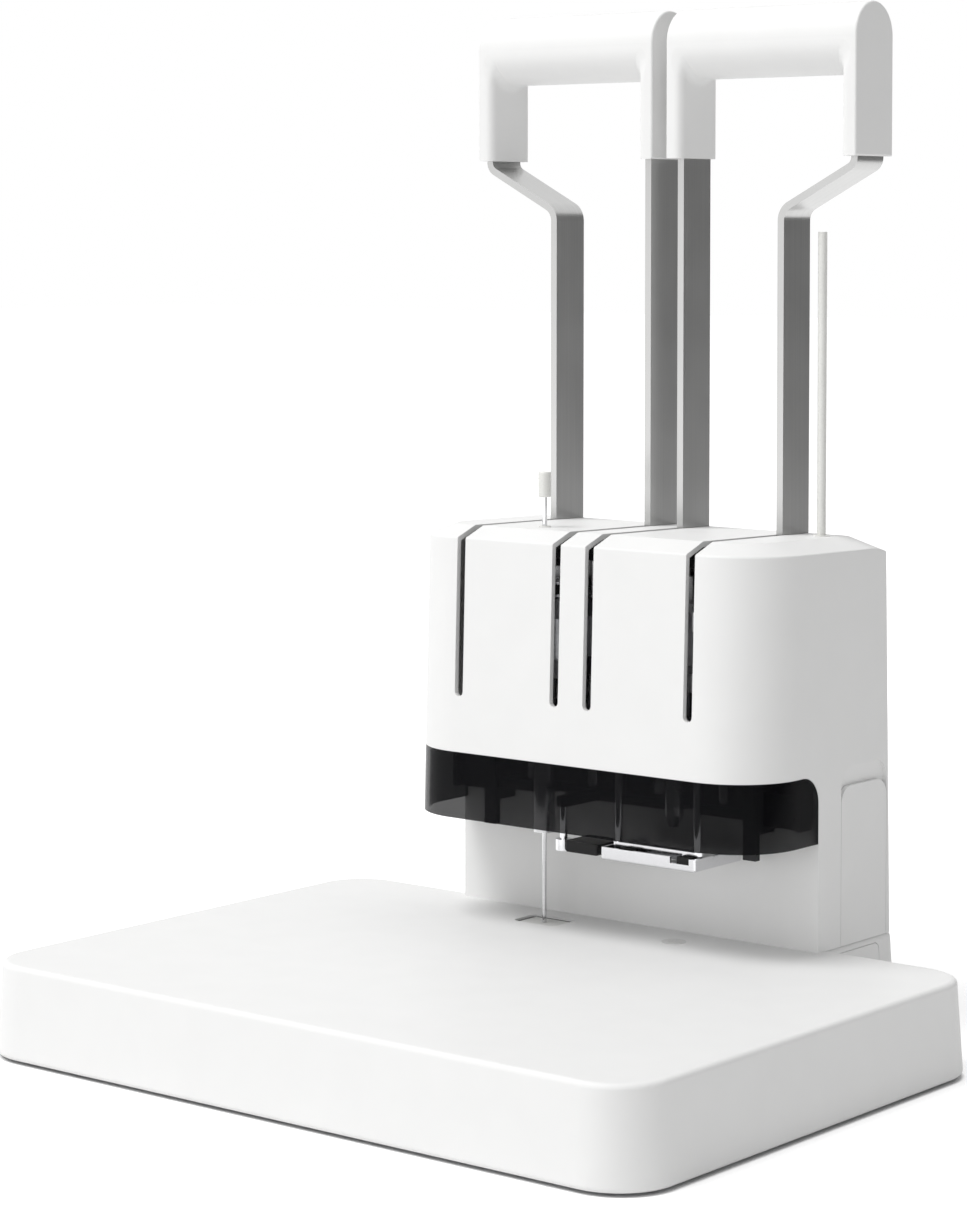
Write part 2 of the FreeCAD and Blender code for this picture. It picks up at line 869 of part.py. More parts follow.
def cover_pocket():
    """Rebate for the right side cover and the finger scoop above it."""
    x0 = shell_half - cover_t
    x1 = shell_half + 1
    seat = rounded_side(cover_front_y - seam, cover_rear_y + seam, base_top_z - 1, cover_top_z + seam,
                        x0, x1, cover_corner_r)
    low = cover_top_z - scoop_overlap
    outline = rounded_side(cover_front_y - seam, cover_rear_y + seam, low, scoop_top_z,
                           shell_half - 2 * scoop_depth, x1, scoop_corner_r)
    wedge = prism([V(x1, 0, low), V(shell_half - scoop_depth, 0, low),
                   V(shell_half - scoop_shallow, 0, scoop_top_z), V(x1, 0, scoop_top_z)],
                  V(0, 2 * column_rear_y, 0))
    return seat.fuse(outline.common(wedge))


def cover_backing():
    """Thicker wall behind the right side cover."""
    x1 = shell_half - wall
    return box(x1 - cover_pad_t, x1, cover_front_y - cover_pad_over, column_rear_y,
               base_top_z - 1, scoop_top_z + cover_pad_over)


def rear_panel(grow):
    """Outline of the rear cover, as a block along Y."""
    return rounded_panel(-rear_cover_half - grow, rear_cover_half + grow,
                         rear_cover_low_z - grow, rear_cover_high_z + grow,
                         frame_rear_y - wall, rear_foot_y, shrunk(rear_cover_r, -grow))


def rear_skin(t):
    """The outer skin of the shell, t thick."""
    z1 = head_edge_z
    return shell_hull(base_top_z, z1, 0.0).cut(shell_hull(base_top_z - 1, z1 + 1, t))


def rear_screw_points():
    x = rear_cover_half - rear_screw_inset
    low = rear_cover_low_z + rear_screw_inset
    high = rear_cover_high_z - rear_screw_inset
    return [(side * x, z) for side in (-1, 1) for z in (low, (low + high) / 2, high)]


def make_body_shell():
    high = head_edge_z + 4 * top_chamfer_rise
    outer = shell_hull(base_top_z, high, 0.0).common(roof(0.0))
    outer = outer.makeFillet(top_edge_r, edges_between(outer, slot_bottom_z, high))
    inner = shell_hull(base_top_z - 1, high, wall).common(roof(wall))
    keep = [box(-shell_half, shell_half, 0, column_front_y + wall, base_top_z - 2, front_wall_top_z)]
    keep += both_sides(cover_backing())
    keep += [rod_y_axis(rear_boss_r, x, rear_boss_y, column_rear_y, z) for x, z in rear_screw_points()]
    shell = outer.cut([throat_cut(), inner.cut(keep)])
    holes = arm_slots() + both_sides(cover_pocket())
    holes.append(rear_skin(rear_cover_t).common(rear_panel(seam)))
    holes.append(rear_panel(-rear_ledge))
    holes += [rod_y_axis(screw_r, x, rear_boss_y, rear_foot_y, z) for x, z in rear_screw_points()]
    holes.append(needle_guide_stem(seat_fit, 2 * needle_guide_stem_h))
    holes.append(rod(well_r + seat_fit, well_x, tube_y, pivot_z, high))
    notch = box(side_plate_in - notch_gap, side_plate_in + side_plate_t + notch_gap,
                column_front_y - 1, column_front_y + wall + 1, side_plate_step_z - notch_gap,
                front_wall_top_z + 1)
    return shell.cut(holes + both_sides(notch)).removeSplitter()


def make_side_covers():
    """Flush covers on both sides of the column."""
    right = rounded_side(cover_front_y, cover_rear_y, base_top_z, cover_top_z,
                         shell_half - cover_t, shell_half, cover_corner_r)
    return Part.makeCompound(both_sides(right))


def vent_slot(x, z):
    r = vent_h / 2
    run = vent_w / 2 - r
    y0 = frame_rear_y
    parts = [box(x - run, x + run, y0, rear_foot_y, z - r, z + r)]
    parts += [rod_y_axis(r, x + side * run, y0, rear_foot_y, z) for side in (-1, 1)]
    return fused(parts)


def make_rear_cover():
    cover = rear_skin(rear_cover_t).common(rear_panel(0.0))
    vents = []
    for row in range(vent_rows):
        z = vent_low_z + row * vent_pitch
        vents += [vent_slot(side * vent_dx, z) for side in (-1, 1)]
    vents += [rod_y_axis(screw_r, x, rear_boss_y, rear_foot_y, z) for x, z in rear_screw_points()]
    return cover.cut(vents)


def rear_screws():
    screws = []
    for x, z in rear_screw_points():
        y = shell_rear_y(z) + screw_head_r * tan_deg(rear_draft)
        head = rod_y_axis(screw_head_r, x, y, y + screw_head_h, z)
        shank = rod_y_axis(screw_r - seat_fit, x, rear_boss_y + 1, y, z)
        screws.append(fused([head, shank]))
    return screws


def make_case_screws():
    """The screws of the base plate and of the rear cover."""
    return Part.makeCompound(plate_screws() + rear_screws())


def visor_band(z0, z1, outer_inset, inner_inset):
    """A band of the head's outline between two heights and two insets."""
    return shell_hull(z0, z1, outer_inset).cut(shell_hull(z0 - 1, z1 + 1, inner_inset))


def make_visor():
    lip_out = wall + visor_lip_gap
    lip_in = lip_out + visor_lip_t
    window = visor_band(visor_bottom_z, visor_top_z, 0.0, visor_t)
    window = window.common(rounded_side_front(column_front_y - seam, visor_top_z, visor_corner_r))
    shoulder = visor_band(visor_top_z - visor_shoulder_h, visor_top_z, visor_t / 2, lip_in)
    lip = visor_band(visor_top_z - visor_shoulder_h, visor_top_z + visor_lip_h, lip_out, lip_in)
    front = box(-shell_half, shell_half, 0, column_front_y - visor_lip_back, visor_bottom_z, top_bridge_z)
    return fused([window, shoulder.common(front), lip.common(front)])


def make_visor_brackets():
    """Arms from the frame plates to the visor's rear ends."""
    x0 = side_plate_in + side_plate_t
    x1 = shell_half - visor_t - seam
    z1 = visor_arm_z + visor_arm_h
    arm = box(x0, x1, visor_arm_y, visor_arm_y + visor_arm_t, visor_arm_z, z1)
    middle = visor_arm_y + visor_arm_t / 2
    tab = box(x1 - visor_tab_t, x1, middle - visor_tab_w / 2, middle + visor_tab_w / 2, visor_arm_z, z1)
    studs = []
    for z in (visor_arm_z + visor_stud_r + 1, z1 - visor_stud_r - 1):
        y = middle - visor_tab_w / 2 + visor_stud_r
        studs.append(rod_x(visor_stud_r, x1 - 2 * visor_tab_t, x1, y, z))
    return Part.makeCompound(both_sides(fused([arm, tab] + studs)))


# Inner frame, shaft and rods

def pivot_hole(x0, x1):
    return rod_x(shaft_r + seat_fit, x0, x1, pivot_y, pivot_z)


def make_side_plate():
    """Right frame plate; its front foot shows below the visor."""
    x1 = side_plate_in + side_plate_t
    foot_rear_y = side_plate_front_y + side_plate_foot_d
    outline = [(side_plate_front_y, side_plate_foot_z), (foot_rear_y, side_plate_foot_z),
               (foot_rear_y, side_plate_step_z), (side_plate_low_y, side_plate_step_z),
               (side_plate_low_y, base_top_z), (frame_rear_y, base_top_z),
               (frame_rear_y, top_bridge_z), (frame_slope_y, top_bridge_z),
               (side_plate_front_y, frame_slope_z)]
    plate = prism_x(outline, side_plate_in, x1)
    window = rod_x(frame_hole_r, side_plate_in - 1, x1 + 1, frame_hole_y, frame_hole_z)
    stop = rod_x(stop_r + seat_fit, side_plate_in - 1, x1 + 1, stop_y(), stop_z)
    return plate.cut([pivot_hole(side_plate_in - 1, x1 + 1), window, stop])


def make_centre_plate():
    half = centre_plate_t / 2
    low = lower_bridge_z + lower_bridge_t
    outline = [(centre_plate_front_y, low), (frame_rear_y, low), (frame_rear_y, top_bridge_z),
               (frame_slope_y, top_bridge_z), (centre_plate_front_y, frame_slope_z)]
    plate = prism_x(outline, -half, half)
    window = rod_x(frame_hole_r, -half - 1, half + 1, frame_hole_y, frame_hole_z)
    stop = rod_x(stop_r + seat_fit, -half - 1, half + 1, stop_y(), stop_z)
    return plate.cut([pivot_hole(-half - 1, half + 1), window, stop])


def rod_holes(z0, z1):
    return [rod(rod_r + seat_fit, side * tool_x + dx, rod_y, z0, z1)
            for side in (-1, 1) for dx in (-rod_dx, rod_dx)]


def make_lower_bridge():
    """Cross plate under the carriages, cut away for the tools and the racks."""
    z1 = lower_bridge_z + lower_bridge_t
    plate = box(-side_plate_in, side_plate_in, bridge_front_y, frame_rear_y, lower_bridge_z, z1)
    holes = rod_holes(lower_bridge_z, z1)
    rack_half = gear_w / 2 + tool_clearance / 2
    for side in (-1, 1):
        x = side * tool_x
        holes.append(rod(fin_r + tool_clearance, x, tool_y, lower_bridge_z, z1))
        holes.append(box(x - rack_half, x + rack_half, bridge_front_y, rack_tip_y + tool_clearance / 2,
                         lower_bridge_z, z1))
    return plate.cut(holes)


def make_top_bridge():
    """Comb that joins the plates at the top and lets the lever arms swing between its teeth."""
    z1 = top_bridge_z + top_bridge_t
    x1 = side_plate_in + side_plate_t
    plate = box(-x1, x1, bridge_front_y, frame_rear_y, top_bridge_z, z1)
    r = slot_w / 2
    gaps = [box(side * x - r, side * x + r, bridge_front_y, slot_rear_y, top_bridge_z, z1)
            for side in (-1, 1) for x in (inner_arm_x, outer_arm_x)]
    return plate.cut(gaps + rod_holes(top_bridge_z, z1))


def make_guide_rods():
    z1 = top_bridge_z + top_bridge_t
    return Part.makeCompound([rod(rod_r, side * tool_x + dx, rod_y, lower_bridge_z, z1)
                              for side in (-1, 1) for dx in (-rod_dx, rod_dx)])


def stop_y():
    return pivot_y + arm_w / 2 + seam + stop_r


def make_cross_shafts():
    """The levers' pivot shaft, and behind it the bar that the arms come to rest on."""
    x1 = side_plate_in + side_plate_t
    return Part.makeCompound([rod_x(shaft_r, -x1, x1, pivot_y, pivot_z),
                              rod_x(stop_r, -x1, x1, stop_y(), stop_z)])


def make_return_springs():
    """One spring round each lever hub, drawn as the sleeve that its coils fill."""
    r = hub_r + spring_gap
    x0 = tool_x - spring_far
    x1 = tool_x - spring_near
    sleeve = rod_x(r + spring_t, x0, x1, pivot_y, pivot_z).cut(rod_x(r, x0, x1, pivot_y, pivot_z))
    return Part.makeCompound(both_sides(sleeve))


# Levers, made for the right side and mirrored for the left

def polar(r, angle):
    """A point round the lever pivot; the angle rises from the front towards the top."""
    return (pivot_y - r * math.cos(angle), pivot_z + r * math.sin(angle))


def tooth_half(offset):
    """Half of a tooth's width at a distance outside the pitch line."""
    return (tooth_pitch - tooth_play) / 4 - offset * tan_deg(pressure_angle)


def tooth_count():
    """Teeth that the stroke needs, with one spare at each end."""
    return math.ceil(stroke / tooth_pitch) + 3


def make_sector():
    """Hub with a toothed sector that drives the carriage's rack."""
    tip = rack_pitch_r + addendum
    root = rack_pitch_r - dedendum
    step = tooth_pitch / rack_pitch_r
    rim = []
    for k in range(-1, tooth_count() - 1):
        a = k * step
        root_half = tooth_half(-dedendum) / root
        tip_half = tooth_half(addendum) / tip
        rim += [polar(root, a - root_half), polar(tip, a - tip_half)]
        rim += [polar(tip, a + tip_half), polar(root, a + root_half)]
    toothed = prism_x([(pivot_y, pivot_z)] + rim, tool_x - gear_w / 2, tool_x + gear_w / 2)
    window_y, window_z = polar(sector_hole_reach, step * (tooth_count() / 2 - 1))
    window = rod_x(sector_hole_r, tool_x - gear_w, tool_x + gear_w, window_y, window_z)
    half = arm_half_spacing - arm_t / 2
    barrel = rod_x(hub_r, tool_x - half, tool_x + half, pivot_y, pivot_z)
    spigot = rod_x(spigot_r, centre_plate_t / 2 + hub_end_gap, side_plate_in - hub_end_gap,
                   pivot_y, pivot_z)
    body = fused([toothed.cut(window), barrel, spigot])
    return body.cut(rod_x(shaft_r + run_fit, -1, outer_leg_x, pivot_y, pivot_z))


def spigot_hole(x):
    return rod_x(spigot_r + seat_fit, x - arm_t, x + arm_t, pivot_y, pivot_z)


def make_inner_arm():
    """Straight flat bar with a round foot."""
    x0 = inner_arm_x - arm_t / 2
    x1 = inner_arm_x + arm_t / 2
    bar = box(x0, x1, pivot_y - arm_w / 2, pivot_y + arm_w / 2, pivot_z, arm_top_z)
    foot = rod_x(arm_w / 2, x0, x1, pivot_y, pivot_z)
    return fused([bar, foot]).cut(spigot_hole(inner_arm_x))


def bent_bar(points, radii):
    """Flat bar swept along a path in the XZ plane with a bend at each inner point."""
    edges = []
    start = points[0]
    for i, r in enumerate(radii):
        corner = points[i + 1]
        before = (points[i] - corner).normalize()
        after = (points[i + 2] - corner).normalize()
        half_turn = before.getAngle(after) / 2
        reach = r / math.tan(half_turn)
        middle = (before + after).normalize() * (r / math.sin(half_turn) - r)
        first = corner + before * reach
        last = corner + after * reach
        edges.append(Part.LineSegment(start, first).toShape())
        edges.append(Part.Arc(first, corner + middle, last).toShape())
        start = last
    edges.append(Part.LineSegment(start, points[-1]).toShape())
    p = points[0]
    corners = [V(p.x - arm_t / 2, p.y - arm_w / 2, p.z), V(p.x + arm_t / 2, p.y - arm_w / 2, p.z),
               V(p.x + arm_t / 2, p.y + arm_w / 2, p.z), V(p.x - arm_t / 2, p.y + arm_w / 2, p.z)]
    section = Part.makePolygon(corners + corners[:1])
    return Part.Wire(edges).makePipeShell([section], True, False)


def make_outer_arm():
    """Flat bar that steps outward below the grip."""
    path = [V(outer_arm_x, pivot_y, pivot_z), V(outer_arm_x, pivot_y, knee_z),
            V(outer_leg_x, pivot_y, bend_z), V(outer_leg_x, pivot_y, arm_top_z)]
    bar = bent_bar(path, [knee_r, bend_r])
    foot = rod_x(arm_w / 2, outer_arm_x - arm_t / 2, outer_arm_x + arm_t / 2, pivot_y, pivot_z)
    return fused([bar, foot]).cut(spigot_hole(outer_arm_x))


def arm_socket(x):
    """Slot up a leg of the grip for the end of an arm."""
    half_t = arm_t / 2 + seat_fit
    half_w = arm_w / 2 + seat_fit
    return box(x - half_t, x + half_t, pivot_y - half_w, pivot_y + half_w,
               grip_bottom_z - 1, arm_top_z + seat_fit)


def make_grip():
    """Moulded U of two flat legs and a round bar between them."""
    r = grip_w / 2
    crown_z = grip_top_z - r
    bar_z = grip_top_z - grip_bar_h + r
    slab = box(grip_inner_x, grip_outer_x, pivot_y - r, pivot_y + r, grip_bottom_z, crown_z)
    crown = rod_x(r, grip_inner_x, grip_outer_x, pivot_y, crown_z)
    inner = grip_inner_x + grip_leg_t
    outer = grip_outer_x - grip_leg_t
    room = box(inner, outer, pivot_y - 2 * r, pivot_y + 2 * r, grip_bottom_z - 1, bar_z)
    room = room.cut(rod_x(r, inner, outer, pivot_y, bar_z))
    grip = slab.fuse(crown).removeSplitter().cut(room)
    corners = edges_at_x(grip, inner, bar_z - 1) + edges_at_x(grip, outer, bar_z - 1)
    corners = [e for e in corners if e.BoundBox.ZMax < bar_z + 1]
    grip = grip.makeFillet(grip_inside_r, corners)
    ends = edges_at_x(grip, grip_inner_x, grip_bottom_z - 1)
    ends += edges_at_x(grip, grip_outer_x, grip_bottom_z - 1)
    grip = grip.makeFillet(grip_edge_r, ends)
    return grip.cut([arm_socket(inner_arm_x), arm_socket(outer_leg_x)])


# Carriages on the guide rods, made on the right axis

def carriage_block():
    """Block with two forward arms, bored for its rods and open behind for the rack."""
    x0 = tool_x - carriage_half
    x1 = tool_x + carriage_half
    block = rounded_block(x0, x1, carriage_front_y, carriage_rear_y, carriage_low_z, carriage_high_z,
                          carriage_corner_r)
    low = carriage_low_z + arm_plate_t
    high = carriage_high_z - arm_plate_t
    window = box(x0 - 1, x1 + 1, carriage_front_y - 1, web_front_y, low, high)
    channel = box(tool_x - channel_half, tool_x + channel_half, rack_pitch_y - rack_back,
                  carriage_rear_y + 1, carriage_low_z - 1, carriage_high_z + 1)
    bores = [rod(rod_r + run_fit, tool_x + dx, rod_y, carriage_low_z, carriage_high_z)
             for dx in (-rod_dx, rod_dx)]
    bores.append(rod(arm_bore_r, tool_x, tool_y, carriage_low_z, carriage_high_z))
    return block.cut([window, channel] + bores)


def make_rack():
    """Toothed bar in the carriage's rear channel."""
    back = rack_pitch_y - rack_back
    root = rack_pitch_y - dedendum
    points = [(back, pivot_z - 2 * tooth_pitch - rack_tail), (root, pivot_z - 2 * tooth_pitch - rack_tail)]
    for k in range(-2, tooth_count() - 2):
        z = pivot_z + (k + 0.5) * tooth_pitch
        root_half = tooth_half(-dedendum)
        tip_half = tooth_half(addendum)
        points += [(root, z - root_half), (rack_tip_y, z - tip_half)]
        points += [(rack_tip_y, z + tip_half), (root, z + root_half)]
    top = pivot_z + (tooth_count() - 2) * tooth_pitch + rack_tail
    points += [(root, top), (back, top)]
    return prism_x(points, tool_x - gear_w / 2, tool_x + gear_w / 2)


def motor_place():
    return (motor_dx - tool_x, tool_y + motor_dy)


def make_drill_carriage():
    block = mirrored(carriage_block())
    x = -tool_x
    low_seat = rod(bearing_r, x, tool_y, carriage_low_z, carriage_low_z + bearing_h)
    high_seat = rod(bearing_r, x, tool_y, carriage_high_z - bearing_h, carriage_high_z)
    mx, my = motor_place()
    shaft_hole = rod(2 * motor_shaft_r, mx, my, carriage_high_z - arm_plate_t - 1, carriage_high_z + 1)
    return block.cut([low_seat, high_seat, shaft_hole])


def make_spindle_bearings():
    x = -tool_x
    bore = spindle_r + run_fit
    low = ring(bearing_r, bore, x, tool_y, carriage_low_z, carriage_low_z + bearing_h)
    high = ring(bearing_r, bore, x, tool_y, carriage_high_z - bearing_h, carriage_high_z)
    return Part.makeCompound([low, high])


def make_drill_motor():
    mx, my = motor_place()
    low = carriage_low_z + arm_plate_t
    high = carriage_high_z - arm_plate_t - motor_gap
    can = rod(motor_r, mx, my, low, high)
    return can.cut(rod(motor_shaft_r + run_fit, mx, my, high - motor_shaft_depth, high))


def pulley(r, x, y):
    """Flat belt pulley with a rim at each side."""
    z0 = carriage_high_z + pulley_gap
    z1 = z0 + pulley_h
    rim_r = r + flange_over
    rims = [rod(rim_r, x, y, z0, z0 + pulley_rim), rod(rim_r, x, y, z1 - pulley_rim, z1)]
    return [rod(r, x, y, z0, z1)] + rims


def make_motor_pulley():
    mx, my = motor_place()
    foot = carriage_high_z - arm_plate_t - motor_gap - motor_shaft_depth + seam
    shaft = rod(motor_shaft_r, mx, my, foot, carriage_high_z + pulley_gap + pulley_h)
    return fused(pulley(motor_pulley_r, mx, my) + [shaft])


def belt_outline(r_big, r_small, z0, z1):
    """Two discs joined by the straight runs of the belt."""
    mx, my = motor_place()
    x = -tool_x
    dx = mx - x
    dy = my - tool_y
    span = math.hypot(dx, dy)
    heading = math.atan2(dy, dx)
    lean = math.acos((r_big - r_small) / span)
    points = []
    for cx, cy, r, sign in ((x, tool_y, r_big, -1), (mx, my, r_small, -1),
                            (mx, my, r_small, 1), (x, tool_y, r_big, 1)):
        a = heading + sign * lean
        points.append(V(cx + r * math.cos(a), cy + r * math.sin(a), z0))
    straight = prism(points, V(0, 0, z1 - z0))
    return fused([rod(r_big, x, tool_y, z0, z1), rod(r_small, mx, my, z0, z1), straight])


def make_drive_belt():
    z0 = carriage_high_z + pulley_gap + pulley_rim + belt_gap
    z1 = carriage_high_z + pulley_gap + pulley_h - pulley_rim - belt_gap
    big = spindle_pulley_r + belt_gap
    small = motor_pulley_r + belt_gap
    outer = belt_outline(big + belt_t, small + belt_t, z0, z1)
    return outer.cut(belt_outline(big, small, z0, z1))


def make_drill_spindle():
    """Hollow shaft with the drill chuck below and its pulley above."""
    x = -tool_x
    shoulder = carriage_low_z - nose_gap
    top = carriage_high_z + pulley_gap + pulley_h
    nose = rod(nose_r, x, tool_y, nose_z, shoulder)
    shaft = rod(spindle_r, x, tool_y, shoulder, top)
    bore = rod(drill_bore_r, x, tool_y, nose_z, top)
    seat = rod(drill_r + seat_fit, x, tool_y, nose_z, nose_z + drill_seat_h)
    return fused([nose, shaft] + pulley(spindle_pulley_r, x, tool_y)).cut([bore, seat])


def make_hollow_drill():
    """Tube drill, ground to a ring edge at its tip."""
    x = -tool_x
    top = nose_z + drill_seat_h
    tube = rod(drill_r, x, tool_y, drill_tip_z + drill_edge_h, top)
    edge = Part.makeCone(drill_edge_r, drill_r, drill_edge_h, V(x, tool_y, drill_tip_z), Z_AXIS)
    return fused([tube, edge]).cut(rod(drill_bore_r, x, tool_y, drill_tip_z - 1, top + 1))


def make_drill_presser():
    """Sleeve that holds the paper round the drill and slides up over the chuck."""
    x = -tool_x
    sleeve = rod(sleeve_r, x, tool_y, sleeve_foot_z, cup_floor_z + cup_floor_t)
    cup = rod(cup_r, x, tool_y, cup_floor_z, cup_top_z)
    hollow = rod(nose_r + run_fit, x, tool_y, cup_floor_z + cup_floor_t, cup_top_z)
    bore = rod(sleeve_bore_r, x, tool_y, sleeve_foot_z, cup_top_z)
    return fused([sleeve, cup]).cut([hollow, bore])


def make_rivet_carriage():
    guides = [rod(post_r + run_fit, tool_x + dx, post_y, carriage_low_z, carriage_high_z)
              for dx in (-post_dx, post_dx)]
    return carriage_block().cut(guides)


def make_heater():
    """Finned heater hung from the carriage's lower arm, with a stem through the arm."""
    body = rod(heater_r, tool_x, tool_y, heater_low_z, carriage_low_z)
    stem = rod(arm_bore_r - seat_fit, tool_x, tool_y, heater_low_z, carriage_low_z + arm_plate_t)
    fins = []
    for k in range(fin_count):
        z = heater_low_z + fin_start + k * fin_pitch
        fins.append(rod(fin_r, tool_x, tool_y, z, z + fin_t))
    return fused([body, stem] + fins)


def make_upper_die():
    shank = rod(die_r, tool_x, tool_y, die_tip_z + die_cone_h, heater_low_z)
    cone = Part.makeCone(die_tip_r, die_r, die_cone_h, V(tool_x, tool_y, die_tip_z), Z_AXIS)
    return fused([shank, cone])


def make_presser_tray():
    """Bent sheet with a lip on three sides and a hole for the die."""
    x0 = tool_x - tray_half_w
    x1 = tool_x + tray_half_w
    y1 = tray_front_y + tray_length
    z1 = tray_foot_z + tray_lip_h
    block = box(x0, x1, tray_front_y, y1, tray_foot_z, z1)
    frames = [(e, e.BoundBox) for e in block.Edges]
    bends = [e for e, b in frames if b.ZMax < tray_foot_z + 0.01 and b.YMin < y1 - 1]
    corners = [e for e, b in frames if b.YMax < tray_front_y + 0.01 and b.XLength < 0.01]
    block = block.makeFillet(tray_bend_r, bends + corners)
    room = box(x0 + tray_sheet_t, x1 - tray_sheet_t, tray_front_y + tray_sheet_t, y1 + 1,
               tray_foot_z + tray_sheet_t, z1 + 1)
    hole = rod(tray_hole_r, tool_x, tool_y, tray_foot_z - 1, z1)
    notch_x = x1 - tray_sheet_t - tray_notch_inset
    notch = box(notch_x - tray_notch_w, notch_x, tray_front_y - 1, tray_front_y + 2 * tray_sheet_t,
                z1 - tray_notch_h, z1 + 1)
    seats = [rod(post_r + seat_fit, tool_x + dx, post_y, tray_foot_z - 1, z1)
             for dx in (-post_dx, post_dx)]
    return block.cut([room, hole, notch] + seats)


def make_presser_frame():
    """Two headed posts welded to the bar that ties them above the tray."""
    half = post_dx + tie_w / 2
    pieces = [rounded_block(tool_x - half, tool_x + half, post_y - tie_w / 2, post_y + tie_w / 2,
                            tie_z, tie_z + tie_h, tie_w / 2 - seat_fit)]
    for dx in (-post_dx, post_dx):
        x = tool_x + dx
        pieces.append(rod(post_r, x, post_y, tray_foot_z, post_top_z))
        pieces.append(rod(post_head_r, x, post_y, post_top_z - post_head_h, post_top_z))
    return fused(pieces)


def make_presser_bumpers():
    """Two rubber blocks behind the tray's front lip."""
    y0 = tray_front_y + tray_sheet_t
    z0 = tray_foot_z + tray_sheet_t
    blocks = []
    for dx in (-bumper_dx_left, bumper_dx_right):
        x = tool_x + dx
        blocks.append(box(x - bumper_w / 2, x + bumper_w / 2, y0, y0 + bumper_d, z0, z0 + bumper_h))
    return Part.makeCompound(blocks)


# Lamp, needle and rivet tube

def make_lamp():
    x0 = lamp_post_x + lamp_foot_r
    housing = box(x0, x0 + lamp_w, lamp_front_y, lamp_front_y + lamp_depth, lamp_low_z, lamp_low_z + lamp_h)
    frames = [(e, e.BoundBox) for e in housing.Edges]
    low = [e for e, b in frames if b.ZMax < lamp_low_z + 0.01 or b.ZLength > lamp_h / 2]
    return housing.makeFillet(lamp_edge_r, low)


def make_lamp_post():
    """Chromed post with a thicker foot that holds the lamp."""
    top = lower_bridge_z + lower_bridge_t - lamp_arm_gap
    post = rod(lamp_post_r, lamp_post_x, lamp_post_y, lamp_low_z, top)
    foot = rod(lamp_foot_r, lamp_post_x, lamp_post_y, lamp_low_z, lamp_low_z + lamp_foot_h)
    return fused([post, foot])


def make_lamp_arm():
    """Arm from the lower bridge forward to the lamp's post."""
    top = lower_bridge_z + lower_bridge_t - lamp_arm_gap
    half = lamp_arm_w / 2
    arm = box(lamp_post_x - half, lamp_post_x + half, lamp_post_y, bridge_front_y, top - lamp_arm_t, top)
    end = rod(half, lamp_post_x, lamp_post_y, top - lamp_arm_t, top)
    hole = rod(lamp_post_r + seat_fit, lamp_post_x, lamp_post_y, top - lamp_arm_t, top)
    return fused([arm, end]).cut(hole)


def make_needle_rod():
    """Thin rod that stands on the pad inside the drill and clears the paper from it."""
    return rod(needle_r, -tool_x, tool_y, pad_top_z + seam, knob_low_z)


def make_needle_knob():
    knob = rod(knob_r, -tool_x, tool_y, knob_low_z, knob_low_z + knob_h)
    return knob.makeFillet(knob_edge_r, [e for e in knob.Edges if e.BoundBox.ZLength < 0.01])


def square_to_roof(shape):
    """Leans a shape at the needle's hole with the top."""
    shape.rotate(V(-tool_x, tool_y, roof_z(tool_y)), X_AXIS, -top_tilt)
    return shape


def needle_guide_stem(grow, length):
    z = roof_z(tool_y)
    return square_to_roof(rod(needle_guide_stem_r + grow, -tool_x, tool_y, z - length, z + grow))


def make_needle_guide():
    """Flanged bush where the needle enters the head."""
    z = roof_z(tool_y)
    flange = square_to_roof(rod(needle_guide_r, -tool_x, tool_y, z, z + needle_guide_h))
    bore = rod(needle_slack_r, -tool_x, tool_y, z - 2 * needle_guide_stem_h, z + 1)
    return fused([flange, needle_guide_stem(0.0, needle_guide_stem_h)]).cut(bore)


def make_tube_well():
    """Closed tube that stores the length of rivet tube, open in the head's top."""
    top = roof_z(tube_y) + well_lift
    outer = rod(well_r, well_x, tube_y, well_low_z, top)
    return outer.cut(rod(tube_r + tube_fit, well_x, tube_y, well_low_z + well_floor, top))


def make_rivet_tube():
    return ring(tube_r, tube_bore_r, well_x, tube_y, well_low_z + well_floor + seam, tube_top_z)


def make_power_supply():
    """Closed box on the tray's top inside the column, with two fixing flanges."""
    x1 = supply_w / 2
    y0 = supply_y - supply_d / 2
    y1 = supply_y + supply_d / 2
    can = box(-x1, x1, y0, y1, base_top_z, base_top_z + supply_h)
    flange = box(-x1 - supply_flange, x1 + supply_flange, y0, y1, base_top_z, base_top_z + supply_flange_t)
    return fused([can, flange])


